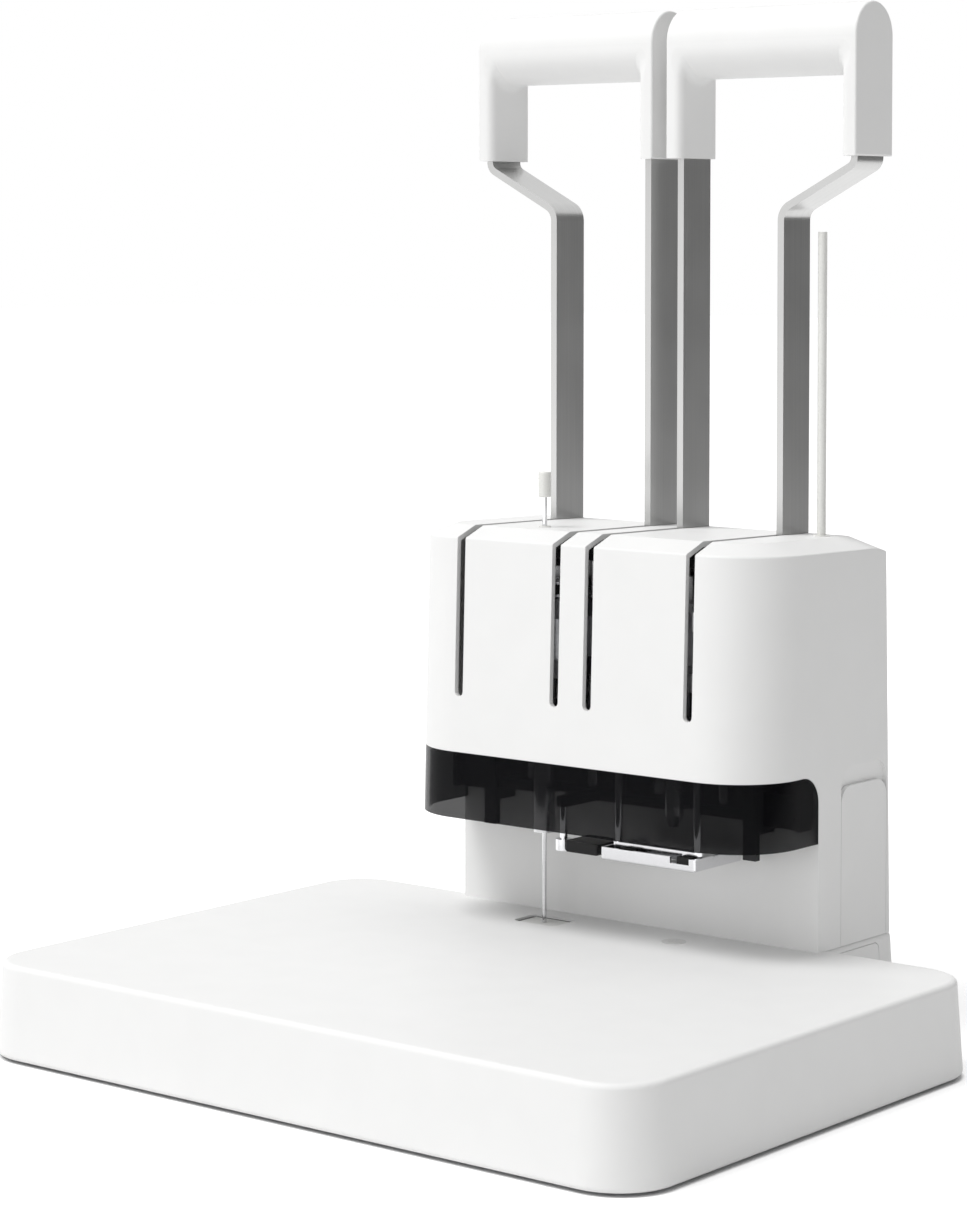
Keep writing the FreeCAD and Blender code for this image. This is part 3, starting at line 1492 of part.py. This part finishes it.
def all_nodes():
    """Every sub-part by its node name."""
    lever = {"sector": make_sector(), "inner_arm": make_inner_arm(),
             "outer_arm": make_outer_arm(), "grip": make_grip()}
    nodes = {
        "base_cover": make_base_cover(),
        "base_plate": make_base_plate(),
        "rubber_feet": make_rubber_feet(),
        "anvil_bridge": make_anvil_bridge(),
        "cutting_pad": make_cutting_pad(),
        "lower_die": make_lower_die(),
        "waste_drawer": make_waste_drawer(),
        "drawer_runners": make_drawer_runners(),
        "power_inlet": make_power_inlet(),
        "inlet_pins": make_inlet_pins(),
        "switch_bezel": make_switch_bezel(),
        "power_rocker": make_power_rocker(),
        "power_supply": make_power_supply(),
        "body_shell": make_body_shell(),
        "side_covers": make_side_covers(),
        "rear_cover": make_rear_cover(),
        "case_screws": make_case_screws(),
        "visor": make_visor(),
        "visor_brackets": make_visor_brackets(),
        "frame_right": make_side_plate(),
        "frame_left": mirrored(make_side_plate()),
        "frame_centre": make_centre_plate(),
        "lower_bridge": make_lower_bridge(),
        "top_bridge": make_top_bridge(),
        "guide_rods": make_guide_rods(),
        "cross_shafts": make_cross_shafts(),
        "return_springs": make_return_springs(),
        "lamp_housing": make_lamp(),
        "lamp_post": make_lamp_post(),
        "lamp_arm": make_lamp_arm(),
        "needle_guide": make_needle_guide(),
        "tube_well": make_tube_well(),
        "rivet_tube": make_rivet_tube(),
        "needle_rod": make_needle_rod(),
        "needle_knob": make_needle_knob(),
        "drill_carriage": make_drill_carriage(),
        "drill_rack": mirrored(make_rack()),
        "spindle_bearings": make_spindle_bearings(),
        "drill_motor": make_drill_motor(),
        "motor_pulley": make_motor_pulley(),
        "drive_belt": make_drive_belt(),
        "drill_spindle": make_drill_spindle(),
        "hollow_drill": make_hollow_drill(),
        "drill_presser": make_drill_presser(),
        "rivet_carriage": make_rivet_carriage(),
        "rivet_rack": make_rack(),
        "die_heater": make_heater(),
        "upper_die": make_upper_die(),
        "presser_tray": make_presser_tray(),
        "presser_frame": make_presser_frame(),
        "presser_bumpers": make_presser_bumpers(),
    }
    for name, shape in lever.items():
        nodes["rivet_" + name] = shape
        nodes["drill_" + name] = mirrored(shape)
    return nodes


os.makedirs("parts", exist_ok=True)
for node, shape in all_nodes().items():
    shape.exportStep("parts/" + node + ".step")
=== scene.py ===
"""Looks of a desktop document riveting machine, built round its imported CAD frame."""

import math

import bmesh
import bpy
from mathutils import Matrix, Vector


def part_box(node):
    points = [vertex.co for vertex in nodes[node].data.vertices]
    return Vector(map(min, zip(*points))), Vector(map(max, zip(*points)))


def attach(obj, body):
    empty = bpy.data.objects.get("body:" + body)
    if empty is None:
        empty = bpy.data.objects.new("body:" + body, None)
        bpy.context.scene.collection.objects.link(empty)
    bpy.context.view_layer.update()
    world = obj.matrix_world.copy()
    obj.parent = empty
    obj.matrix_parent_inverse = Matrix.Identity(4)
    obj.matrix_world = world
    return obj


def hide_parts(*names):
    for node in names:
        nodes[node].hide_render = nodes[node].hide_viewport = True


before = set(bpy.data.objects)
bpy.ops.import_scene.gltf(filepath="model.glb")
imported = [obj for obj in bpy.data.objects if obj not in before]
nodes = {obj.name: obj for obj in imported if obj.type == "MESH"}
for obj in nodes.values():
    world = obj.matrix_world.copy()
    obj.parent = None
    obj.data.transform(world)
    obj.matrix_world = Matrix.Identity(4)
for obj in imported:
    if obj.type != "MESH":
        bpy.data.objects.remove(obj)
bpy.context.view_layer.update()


# Base plate and motor
# A plate of zinc plated sheet closes the base from below, and the drill motor's can is
# drawn from the same sheet. The plating has small soft patches and no direction.

PATTERN_LOW = 0.3
PATTERN_HIGH = 0.7
LINE_DETAIL = 4.0
PATCHES = (0.03, 0.03, 0.03)
SHEET = (0.60, 0.61, 0.63)


def shader_of(material):
    """The Principled shader of a finish."""
    return material.node_tree.nodes["Principled BSDF"]


def set_even(material, values):
    """Sets what is the same all over the surface on the shader's own sockets."""
    for socket, value in values.items():
        shader_of(material).inputs[socket].default_value = value


def finish_of(name, colour, roughness, metallic=0.0):
    """A new material of one colour and roughness."""
    material = bpy.data.materials.new(name)
    material.use_nodes = True
    set_even(material, {"Base Color": (*colour, 1.0), "Roughness": roughness, "Metallic": metallic})
    return material


def place_on(material):
    """The object's own coordinates in metres, so that a pattern keeps its real scale."""
    return material.node_tree.nodes.new("ShaderNodeTexCoord").outputs["Object"]


def noise(material, size, detail=2.0):
    """A noise pattern; size is the width of its grain in metres along X, Y and Z."""
    tree = material.node_tree
    mapping = tree.nodes.new("ShaderNodeMapping")
    mapping.inputs["Scale"].default_value = [1.0 / width for width in size]
    texture = tree.nodes.new("ShaderNodeTexNoise")
    texture.inputs["Scale"].default_value = 1.0
    texture.inputs["Detail"].default_value = detail
    tree.links.new(place_on(material), mapping.inputs["Vector"])
    tree.links.new(mapping.outputs["Vector"], texture.inputs["Vector"])
    return texture.outputs["Fac"]


def mapped(material, value, start, end, low=0.0, high=1.0):
    """A value that goes from low to high while the given one goes from start to end."""
    tree = material.node_tree
    span = tree.nodes.new("ShaderNodeMapRange")
    span.inputs["From Min"].default_value = start
    span.inputs["From Max"].default_value = end
    span.inputs["To Min"].default_value = low
    span.inputs["To Max"].default_value = high
    tree.links.new(value, span.inputs["Value"])
    return span.outputs["Result"]


def vary_colour(material, value, dark, light):
    """Blends the base colour from dark to light with a pattern's value."""
    tree = material.node_tree
    ramp = tree.nodes.new("ShaderNodeValToRGB")
    first, last = ramp.color_ramp.elements
    first.position = PATTERN_LOW
    first.color = (*dark, 1.0)
    last.position = PATTERN_HIGH
    last.color = (*light, 1.0)
    tree.links.new(value, ramp.inputs["Fac"])
    tree.links.new(ramp.outputs["Color"], shader_of(material).inputs["Base Color"])


def vary_roughness(material, value, low, high):
    """Moves the roughness from low to high with a pattern's value."""
    rough = mapped(material, value, PATTERN_LOW, PATTERN_HIGH, low, high)
    material.node_tree.links.new(rough, shader_of(material).inputs["Roughness"])


def raise_grain(material, value, height):
    """Makes a pattern's value stand up as grain of that height in metres."""
    tree = material.node_tree
    bump = tree.nodes.new("ShaderNodeBump")
    bump.inputs["Distance"].default_value = height
    tree.links.new(value, bump.inputs["Height"])
    tree.links.new(bump.outputs["Normal"], shader_of(material).inputs["Normal"])


def shade(colour, share):
    """The colour with its light taken to a share of itself."""
    return [channel * share for channel in colour]


def drawn_finish(name, colour, roughness, line, run, height, metallic=1.0, contrast=0.12):
    """A finish with fine lines: line is their width on each axis, run their length."""
    material = finish_of(name, colour, roughness, metallic)
    size = [run if width is None else width for width in line]
    lines = noise(material, size, LINE_DETAIL)
    patches = noise(material, PATCHES)
    vary_colour(material, lines, shade(colour, 1.0 - contrast), shade(colour, 1.0 + contrast))
    vary_roughness(material, patches, roughness - contrast / 3, roughness + contrast / 3)
    raise_grain(material, lines, height)
    return material


def wear(names, material):
    """Gives CAD nodes this material alone."""
    for name in names:
        mesh = nodes[name].data
        mesh.materials.clear()
        mesh.materials.append(material)


plated_sheet = drawn_finish("plated_sheet", SHEET, roughness=0.36, line=(0.002, 0.002, 0.002),
                            run=0.002, height=0.000006)
wear(["base_plate", "drill_motor"], plated_sheet)


# Power supply
# A box folded from brushed sheet, which stands on its flanges on the base, inside the
# column. The brushing runs from side to side.

CASE = (0.55, 0.56, 0.58)
supply_case = drawn_finish("supply_case", CASE, roughness=0.38, line=(None, 0.0005, 0.0005),
                           run=0.03, height=0.000008)
wear(["power_supply"], supply_case)


# Inlet pins
# The pins of the mains inlet, which are cut from drawn brass and pressed into its
# moulding.

BRASS = (0.72, 0.50, 0.20)
brass = drawn_finish("brass", BRASS, roughness=0.24, line=(None, 0.0004, None), run=0.01,
                     height=0.000005)
wear(["inlet_pins"], brass)


# Tool frame
# Two side plates, a centre plate and two bridges stand inside the column and carry the
# tools. They and the visor's brackets and the lamp's arm are of blackened steel plate.

GRAIN_DETAIL = 3.0
MOTTLE_GRAINS = 40
GRAIN_ROUGHNESS = 0.06
BLACKENED = (0.022, 0.022, 0.024)


def cast_finish(name, colour, roughness, grain, height, metallic=0.0, mottle=0.95):
    """A finish with the same fine grain every way: moulded, cast, blasted or painted."""
    material = finish_of(name, colour, roughness, metallic)
    fine = noise(material, (grain,) * 3, GRAIN_DETAIL)
    broad = noise(material, (MOTTLE_GRAINS * grain,) * 3)
    vary_colour(material, broad, shade(colour, mottle), colour)
    vary_roughness(material, fine, roughness - GRAIN_ROUGHNESS, roughness + GRAIN_ROUGHNESS)
    raise_grain(material, fine, height)
    return material


black_frame = cast_finish("black_frame", BLACKENED, roughness=0.4, grain=0.0008, height=0.00002,
                          metallic=0.4, mottle=0.7)
wear(["frame_right", "frame_left", "frame_centre", "lower_bridge", "top_bridge",
      "visor_brackets", "lamp_arm"], black_frame)


# Black mouldings
# The drawer's runners, the mains inlet, the switch with its rocker and the lamp's
# housing are moulded in one black plastic with a fine, faintly shiny grain.

BLACK = (0.009, 0.009, 0.0095)
black_plastic = cast_finish("black_plastic", BLACK, roughness=0.4, grain=0.0005, height=0.00002,
                            mottle=0.8)
set_even(black_plastic, {"Specular IOR Level": 0.25})
wear(["drawer_runners", "power_inlet", "switch_bezel", "power_rocker", "lamp_housing"],
     black_plastic)


# Rubber parts
# The feet under the base, the belt from the motor to the drill and the two blocks on
# the presser's frame are moulded in dull black rubber.

RUBBER = (0.014, 0.014, 0.014)
rubber = cast_finish("rubber", RUBBER, roughness=0.78, grain=0.0009, height=0.00006, mottle=0.8)
wear(["rubber_feet", "drive_belt", "presser_bumpers"], rubber)


# Rods, shafts and tools
# The bridge under the tools, the rods and shafts, both toothed sectors and racks, the
# spindle in its bearings and the tools that meet the paper are turned or cut from steel.

STEEL = (0.56, 0.56, 0.57)
machined_steel = drawn_finish("machined_steel", STEEL, roughness=0.26, line=(None, None, 0.0003),
                              run=0.01, height=0.000006)
wear(["anvil_bridge", "guide_rods", "cross_shafts", "drill_sector", "rivet_sector",
      "drill_rack", "rivet_rack", "spindle_bearings", "drill_spindle", "hollow_drill",
      "drill_presser", "upper_die"], machined_steel)


# Carriages
# The two carriages that slide on the rods, the motor's pulley and the block that heats
# the upper die are milled from aluminium, whose fine lines run from front to back.

ALUMINIUM = (0.66, 0.66, 0.68)
aluminium = drawn_finish("aluminium", ALUMINIUM, roughness=0.34, line=(0.0004, None, None),
                         run=0.02, height=0.000008)
wear(["drill_carriage", "rivet_carriage", "motor_pulley", "die_heater"], aluminium)


# Presser tray and lamp post
# The presser's tray and its frame are bent from steel and chromed bright, and so is the
# turned post that carries the lamp between the tools.

CHROME = (0.78, 0.78, 0.80)
chrome = cast_finish("chrome", CHROME, roughness=0.14, grain=0.0008, height=0.000001,
                     metallic=1.0, mottle=0.96)
wear(["presser_tray", "presser_frame", "lamp_post"], chrome)


# Clearing needle
# A thin steel rod that drops through the hollow drill and pushes the paper out of it.
# It is polished almost to a mirror and hangs from its knob.

NEEDLE = (0.66, 0.66, 0.67)
needle_steel = drawn_finish("needle_steel", NEEDLE, roughness=0.1, line=(None, None, 0.0005),
                            run=0.01, height=0.000001, contrast=0.06)
wear(["needle_rod"], needle_steel)


# Nylon parts
# The rivet tube and its well, and the needle's guide and knob, are turned or drawn from
# pale nylon, which lets a little light in.

NYLON = (0.82, 0.82, 0.79)
clear_white = cast_finish("clear_white", NYLON, roughness=0.3, grain=0.0012, height=0.000015,
                          mottle=0.94)
set_even(clear_white, {"Subsurface Weight": 0.25, "Subsurface Scale": 0.002,
                       "Subsurface Radius": (1.0, 1.0, 1.0)})
wear(["rivet_tube", "tube_well", "needle_guide", "needle_knob"], clear_white)


# Lower die
# A steel insert level with the tray's top, on which the rivet's lower end is closed. It
# is ground, and the lines run from front to back.

GROUND = (0.74, 0.74, 0.73)
ground_steel = drawn_finish("ground_steel", GROUND, roughness=0.5, line=(0.0004, None, None),
                            run=0.006, height=0.000004, metallic=0.3, contrast=0.05)
wear(["lower_die"], ground_steel)


# Cutting pad
# A nylon block let into the tray's top under the drill. Its top is roughened by the
# drill, and a band round its rim is painted dark as the shade in the gap round it.

PAD = (0.74, 0.74, 0.72)
PAD_ROUGHNESS = 0.45
# Width and colour of the painted shade round the pad's rim.
PAD_SHADE_BAND = 0.002
PAD_SHADE_DARKEST = 0.7 * PAD_SHADE_BAND
PAD_GAP_SHADE_COLOUR = (0.06, 0.06, 0.06)
SCORES = (0.0012, 0.0012, 0.0012)
SCORE_ROUGHNESS = (0.38, 0.55)
SCORE_HEIGHT = 0.00003


def reckon(owner, kind, operation, values):
    """A maths node that works on other nodes' values or on plain ones."""
    tree = owner.node_tree
    node = tree.nodes.new(kind)
    node.operation = operation
    for socket, value in zip(node.inputs, values):
        if isinstance(value, bpy.types.NodeSocket):
            tree.links.new(value, socket)
        else:
            socket.default_value = value
    return node.outputs


def number(owner, operation, *values):
    """The number that comes of this operation."""
    return reckon(owner, "ShaderNodeMath", operation, values)["Value"]


def vector(owner, operation, *values):
    """The vector that comes of this operation."""
    return reckon(owner, "ShaderNodeVectorMath", operation, values)["Vector"]


pad_low, pad_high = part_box("cutting_pad")
pad_middle = [(low + high) / 2 for low, high in zip(pad_low, pad_high)]
cutting_pad = finish_of("cutting_pad", PAD, PAD_ROUGHNESS)
pad_offset = vector(cutting_pad, "SUBTRACT", place_on(cutting_pad), pad_middle)
pad_reach = vector(cutting_pad, "ABSOLUTE", pad_offset)
pad_axes = cutting_pad.node_tree.nodes.new("ShaderNodeSeparateXYZ")
cutting_pad.node_tree.links.new(pad_reach, pad_axes.inputs["Vector"])
# A band round the pad's rim is painted dark, as the shade of the gap between pad and tray.
pad_gap_shade = []
for axis in range(2):
    half = (pad_high[axis] - pad_low[axis]) / 2
    pad_gap_shade.append(mapped(cutting_pad, pad_axes.outputs[axis], half - PAD_SHADE_BAND,
                            half - PAD_SHADE_DARKEST))
vary_colour(cutting_pad, number(cutting_pad, "MAXIMUM", *pad_gap_shade), PAD, PAD_GAP_SHADE_COLOUR)
pad_scores = noise(cutting_pad, SCORES, LINE_DETAIL)
vary_roughness(cutting_pad, pad_scores, *SCORE_ROUGHNESS)
raise_grain(cutting_pad, pad_scores, SCORE_HEIGHT)
wear(["cutting_pad"], cutting_pad)


# White covers
# The base cover, the column's shell, its rear and side covers, the drawer and the two
# grips are moulded in one white plastic with a fine spark-eroded grain.

WHITE = (0.87, 0.87, 0.865)
white_plastic = cast_finish("white_plastic", WHITE, roughness=0.5, grain=0.0006, height=0.00002,
                            mottle=0.985)
set_even(white_plastic, {"Specular IOR Level": 0.25})
wear(["base_cover", "body_shell", "side_covers", "rear_cover", "waste_drawer",
      "drill_grip", "rivet_grip"], white_plastic)


# Visor
# A smoked clear screen hangs from brackets under the head, round its front and sides.
# It is polished, dark and lets the tools behind it show faintly.

SMOKE = (0.005, 0.005, 0.006)
HAZE = (0.02, 0.02, 0.02)
smoked_visor = finish_of("smoked_visor", SMOKE, roughness=0.05)
set_even(smoked_visor, {"Alpha": 0.72, "Specular IOR Level": 0.03})
vary_roughness(smoked_visor, noise(smoked_visor, HAZE), low=0.03, high=0.08)
wear(["visor"], smoked_visor)


# Lever arms
# Two flat steel bars join each grip to its hub. They are plated over brushing that runs
# along the bar, and bend in the XZ plane, so that the lines differ along Y alone.

ARM_STEEL = (0.55, 0.55, 0.545)
arm_steel = drawn_finish("arm_steel", ARM_STEEL, roughness=0.32, line=(None, 0.0004, None),
                         run=0.12, height=0.000006, contrast=0.05)
wear(["drill_inner_arm", "drill_outer_arm", "rivet_inner_arm", "rivet_outer_arm"], arm_steel)


# Screws
# Pan-head steel screws with a cross recess hold the base plate from below and the rear
# cover from behind. Each head is turned, then its cross is pressed in.

SCREW = (0.42, 0.42, 0.44)
HEAD_R = 0.0036
HEAD_H = 0.0012
HEAD_FLAT = 0.00205
HEAD_PROFILE = ((0.82, 1.0), (0.94, 0.88), (1.0, 0.6), (1.0, 0.0))
SHANK_R = 0.00197
SHANK_CHAMFER = 0.0005
CROSS_REACH = 0.0018
CROSS_HALF = 0.00042
CROSS_DEPTH = 0.0008
CROSS_TAPER = 0.8
GRID_CELLS = 5
ROUND_CUTS = 1
MERGE_DISTANCE = 1e-6
SAME_WIDTH = 1e-4
screw_steel = drawn_finish("screw_steel", SCREW, roughness=0.34, line=(0.0006, 0.0006, 0.0006),
                           run=0.0006, height=0.000006)


def solid_boxes(mesh):
    """Lowest and highest corner of each separate solid in a node's mesh."""
    work = bmesh.new()
    work.from_mesh(mesh)
    bmesh.ops.remove_doubles(work, verts=work.verts, dist=MERGE_DISTANCE)
    seen = set()
    boxes = []
    for start in work.verts:
        if start in seen:
            continue
        seen.add(start)
        reached = [start]
        for vertex in reached:
            for edge in vertex.link_edges:
                other = edge.other_vert(vertex)
                if other not in seen:
                    seen.add(other)
                    reached.append(other)
        places = [vertex.co.copy() for vertex in reached]
        boxes.append([Vector([pick(place[axis] for place in places) for axis in range(3)])
                      for pick in (min, max)])
    work.free()
    return boxes


def cross_screw(depth):
    """A screw with its head up, its seat at z = 0 and a shank of that depth."""
    work = bmesh.new()
    bmesh.ops.create_grid(work, x_segments=GRID_CELLS, y_segments=GRID_CELLS, size=GRID_CELLS / 2)
    lines = (CROSS_HALF, CROSS_REACH, HEAD_FLAT)
    for vertex in work.verts:
        for axis in range(2):
            line = lines[int(abs(vertex.co[axis]))]
            vertex.co[axis] = math.copysign(line, vertex.co[axis])
        vertex.co.z = HEAD_H
    rim = [edge for edge in work.edges if edge.is_boundary]
    bmesh.ops.subdivide_edges(work, edges=rim, cuts=ROUND_CUTS)
    rim = [edge for edge in work.edges if edge.is_boundary]
    cross = []
    for face in work.faces:
        near, far = sorted(abs(place) for place in face.calc_center_median()[:2])
        if near < CROSS_HALF and far < CROSS_REACH:
            cross.append(face)
    pressed = bmesh.ops.extrude_face_region(work, geom=cross)["geom"]
    bmesh.ops.delete(work, geom=cross, context="FACES")
    for vertex in pressed:
        if isinstance(vertex, bmesh.types.BMVert):
            vertex.co.x *= CROSS_TAPER
            vertex.co.y *= CROSS_TAPER
            vertex.co.z = HEAD_H - CROSS_DEPTH
    turned = [(radius * HEAD_R, height * HEAD_H) for radius, height in HEAD_PROFILE]
    turned += [(SHANK_R, 0.0), (SHANK_R, SHANK_CHAMFER - depth), (SHANK_R - SHANK_CHAMFER, -depth)]
    for radius, height in turned:
        ring = bmesh.ops.extrude_edge_only(work, edges=rim)["geom"]
        rim = [part for part in ring if isinstance(part, bmesh.types.BMEdge)]
        for vertex in {vertex for edge in rim for vertex in edge.verts}:
            around = Vector((vertex.co.x, vertex.co.y, 0.0)).normalized() * radius
            vertex.co = Vector((around.x, around.y, height))
    bmesh.ops.contextual_create(work, geom=rim)
    bmesh.ops.recalc_face_normals(work, faces=work.faces)
    return work


def made(name, work, material):
    """The object made from its mesh, in its material and in the scene."""
    data = bpy.data.meshes.new(name)
    work.to_mesh(data)
    work.free()
    data.materials.append(material)
    piece = bpy.data.objects.new(name, data)
    bpy.context.scene.collection.objects.link(piece)
    return piece


all_screws = bmesh.new()
for low, high in solid_boxes(nodes["case_screws"].data):
    middle = (low + high) / 2
    from_below = abs((high.x - low.x) - (high.y - low.y)) < SAME_WIDTH
    if from_below:
        place = (middle.x, middle.y, low.z + HEAD_H)
        turn = math.pi
        depth = high.z - low.z - HEAD_H
    else:
        place = (middle.x, high.y - HEAD_H, middle.z)
        turn = -math.pi / 2
        depth = high.y - low.y - HEAD_H
    screw = cross_screw(depth)
    seat = Matrix.Translation(place) @ Matrix.Rotation(turn, 4, "X")
    bmesh.ops.transform(screw, matrix=seat, verts=screw.verts)
    one_screw = bpy.data.meshes.new("one_screw")
    screw.to_mesh(one_screw)
    screw.free()
    all_screws.from_mesh(one_screw)
    bpy.data.meshes.remove(one_screw)
cross_screws = made("cross_screws", all_screws, screw_steel)
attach(cross_screws, "stand")
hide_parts("case_screws")


# Return springs
# A close coil of oiled steel wire is wound round each lever's hub and carries the lever
# back up. Its ends are cut square.

SPRING = (0.30, 0.30, 0.31)
WIRE_R = 0.00095
WIRE_SIDES = 10
WIRE_PITCH = 2.15 * WIRE_R
COIL_STEPS = 28
spring_steel = drawn_finish("spring_steel", SPRING, roughness=0.3, line=(0.0004, None, None),
                            run=0.004, height=0.000003)

all_springs = bmesh.new()
for low, high in solid_boxes(nodes["return_springs"].data):
    middle = (low + high) / 2
    coil_r = (high.z - low.z) / 2 - WIRE_R
    turns = int((high.x - low.x - 2 * WIRE_R) / WIRE_PITCH)
    steps = turns * COIL_STEPS
    run = turns * WIRE_PITCH
    start = Matrix.Translation((middle.x - run / 2, middle.y, middle.z + coil_r))
    upright = Matrix.Rotation(math.pi / 2, 4, "X")
    end_face = bmesh.ops.create_circle(all_springs, cap_ends=True, segments=WIRE_SIDES,
                                       radius=WIRE_R, matrix=start @ upright)
    end_geom = list({face for vertex in end_face["verts"] for face in vertex.link_faces})
    bmesh.ops.spin(all_springs, geom=end_geom, cent=middle, axis=(1.0, 0.0, 0.0),
                   dvec=(run / steps, 0.0, 0.0), angle=turns * math.tau, steps=steps,
                   use_merge=False)
bmesh.ops.recalc_face_normals(all_springs, faces=all_springs.faces)
for face in all_springs.faces:
    face.smooth = len(face.verts) == 4
coil_springs = made("coil_springs", all_springs, spring_steel)
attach(coil_springs, "stand")
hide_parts("return_springs")


# Room
# The machine stands in an evenly lit room. The camera, bright metal and the visor see
# its walls as plain white, while the light that falls on the machine is weaker.

ROOM_LIGHT = (0.48, 0.48, 0.48, 1.0)
ROOM_WHITE = (1.0, 1.0, 1.0, 1.0)


def any_ray(owner, first, *others):
    """One for each kind of ray that is named, and nought for every other."""
    path = owner.node_tree.nodes.new("ShaderNodeLightPath")
    seen = path.outputs[first]
    for name in others:
        seen = number(owner, "MAXIMUM", seen, path.outputs[name])
    return seen


world = bpy.data.worlds.new("room")
bpy.context.scene.world = world
world.use_nodes = True
room = world.node_tree
room.nodes.clear()
room_light = room.nodes.new("ShaderNodeBackground")
room_light.inputs["Color"].default_value = ROOM_LIGHT
room_white = room.nodes.new("ShaderNodeBackground")
room_white.inputs["Color"].default_value = ROOM_WHITE
room_mix = room.nodes.new("ShaderNodeMixShader")
room_out = room.nodes.new("ShaderNodeOutputWorld")
room_seen = any_ray(world, "Is Camera Ray", "Is Glossy Ray", "Is Transmission Ray")
room.links.new(room_seen, room_mix.inputs["Fac"])
room.links.new(room_light.outputs["Background"], room_mix.inputs[1])
room.links.new(room_white.outputs["Background"], room_mix.inputs[2])
room.links.new(room_mix.outputs["Shader"], room_out.inputs["Surface"])


# Floor
# A pale matt floor that keeps the machine's shadow. It shows some of its own white to
# the camera and to bright metal, though not under the tray: leaving the glow out there paints a
# dark line of contact shade at the tray's foot, over its real shadow.

FLOOR_HALF = 12.0
FLOOR_COLOUR = (0.86, 0.86, 0.86)
FLOOR_ROUGHNESS = 0.9
FADE_START = 0.5
FADE_END = 3.0
FLOOR_GLOW_NEAR = 0.5
FLOOR_GLOW_FAR = 0.65
BASE_CORNER = 0.031
TRAY_REAR_Y = 0.1183
FLOOR_EDGE = 0.001
floor_finish = finish_of("floor", FLOOR_COLOUR, FLOOR_ROUGHNESS)
set_even(floor_finish, {"Specular IOR Level": 0.0, "Emission Color": (1.0, 1.0, 1.0, 1.0)})


def length(owner, value):
    """The length of a vector."""
    return reckon(owner, "ShaderNodeVectorMath", "LENGTH", [value])["Value"]


floor_place = place_on(floor_finish)
floor_fade = mapped(floor_finish, length(floor_finish, floor_place), FADE_START, FADE_END,
                    FLOOR_GLOW_NEAR, FLOOR_GLOW_FAR)
# The glow is left out inside the tray's footprint, which paints the floor at its foot with contact
# shade.
base_low, base_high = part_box("base_cover")
tray_middle = (0.0, (base_low[1] + TRAY_REAR_Y) / 2, 0.0)
tray_core = (base_high[0] - BASE_CORNER, (TRAY_REAR_Y - base_low[1]) / 2 - BASE_CORNER, 0.0)
floor_offset = vector(floor_finish, "SUBTRACT", floor_place, tray_middle)
floor_reach = vector(floor_finish, "ABSOLUTE", floor_offset)
floor_past = vector(floor_finish, "SUBTRACT", floor_reach, tray_core)
floor_outside = vector(floor_finish, "MAXIMUM", floor_past, (0.0, 0.0, 0.0))
contact_shade_mask = mapped(floor_finish, length(floor_finish, floor_outside), BASE_CORNER - FLOOR_EDGE,
                    BASE_CORNER + FLOOR_EDGE)
floor_lit = number(floor_finish, "MULTIPLY", floor_fade, contact_shade_mask)
floor_seen = any_ray(floor_finish, "Is Camera Ray", "Is Glossy Ray")
floor_glow = number(floor_finish, "MULTIPLY", floor_seen, floor_lit)
floor_finish.node_tree.links.new(floor_glow, shader_of(floor_finish).inputs["Emission Strength"])

floor_mesh = bmesh.new()
bmesh.ops.create_grid(floor_mesh, x_segments=1, y_segments=1, size=FLOOR_HALF)
floor = made("floor", floor_mesh, floor_finish)


# Card
# A grey card stands to the right of the machine and reaches far behind it. Only
# bright metal sees it, as a darker side to reflect. It casts no shadow.

CARD_X = 0.9
CARD_FRONT_Y = -0.1
CARD_BACK_Y = 2.6
CARD_TOP_Z = 1.3
CARD_COLOUR = (0.2, 0.2, 0.2)
card_finish = finish_of("card", CARD_COLOUR, roughness=1.0)

card_mesh = bmesh.new()
card_corners = [(CARD_X, CARD_FRONT_Y, 0.0), (CARD_X, CARD_BACK_Y, 0.0),
                (CARD_X, CARD_BACK_Y, CARD_TOP_Z), (CARD_X, CARD_FRONT_Y, CARD_TOP_Z)]
card_mesh.faces.new([card_mesh.verts.new(corner) for corner in card_corners])
card = made("card", card_mesh, card_finish)
card.visible_camera = False
card.visible_diffuse = False
card.visible_shadow = False


# Lamps
# A large soft lamp hangs high at the front left and gives the shadows. A weak one
# stands low in front and lifts the faces under the head.

LAMP_TARGET = Vector((0.0, 0.0, 0.2))


def facing(direction):
    """The turn that aims a lamp or a camera along a direction."""
    return direction.to_track_quat("-Z", "Y").to_euler()


def soft_lamp(name, place, size, power):
    """A square area lamp of that side and power, turned to face the machine."""
    lamp = bpy.data.lights.new(name, "AREA")
    lamp.size = size
    lamp.energy = power
    holder = bpy.data.objects.new(name, lamp)
    holder.location = place
    holder.rotation_euler = facing(LAMP_TARGET - Vector(place))
    bpy.context.scene.collection.objects.link(holder)


soft_lamp("key", place=(-1.5, -2.2, 4.8), size=2.6, power=190.0)
soft_lamp("fill", place=(0.2, -3.0, 0.5), size=1.5, power=10.0)


# Camera
# A long lens looks at the machine from its front right, a little down on the tray. It
# is shifted, so that the upright lines stay nearly upright in the picture.

CAMERA_PLACE = (1.0710, -1.3461, 0.4282)
CAMERA_LENS = 99.801
CAMERA_SHIFT_X = 0.0108
CAMERA_SHIFT_Y = -0.1784
CAMERA_YAW = math.radians(-39.253)
CAMERA_DIP = math.radians(2.74)
camera_data = bpy.data.cameras.new("camera")
camera_data.lens = CAMERA_LENS
camera_data.shift_x = CAMERA_SHIFT_X
camera_data.shift_y = CAMERA_SHIFT_Y
camera = bpy.data.objects.new("camera", camera_data)
camera.location = CAMERA_PLACE
camera.rotation_euler = facing(Vector((math.sin(CAMERA_YAW) * math.cos(CAMERA_DIP),
                                       math.cos(CAMERA_YAW) * math.cos(CAMERA_DIP),
                                       -math.sin(CAMERA_DIP))))
bpy.context.scene.collection.objects.link(camera)
bpy.context.scene.camera = camera
bpy.context.scene.view_settings.view_transform = "Standard"
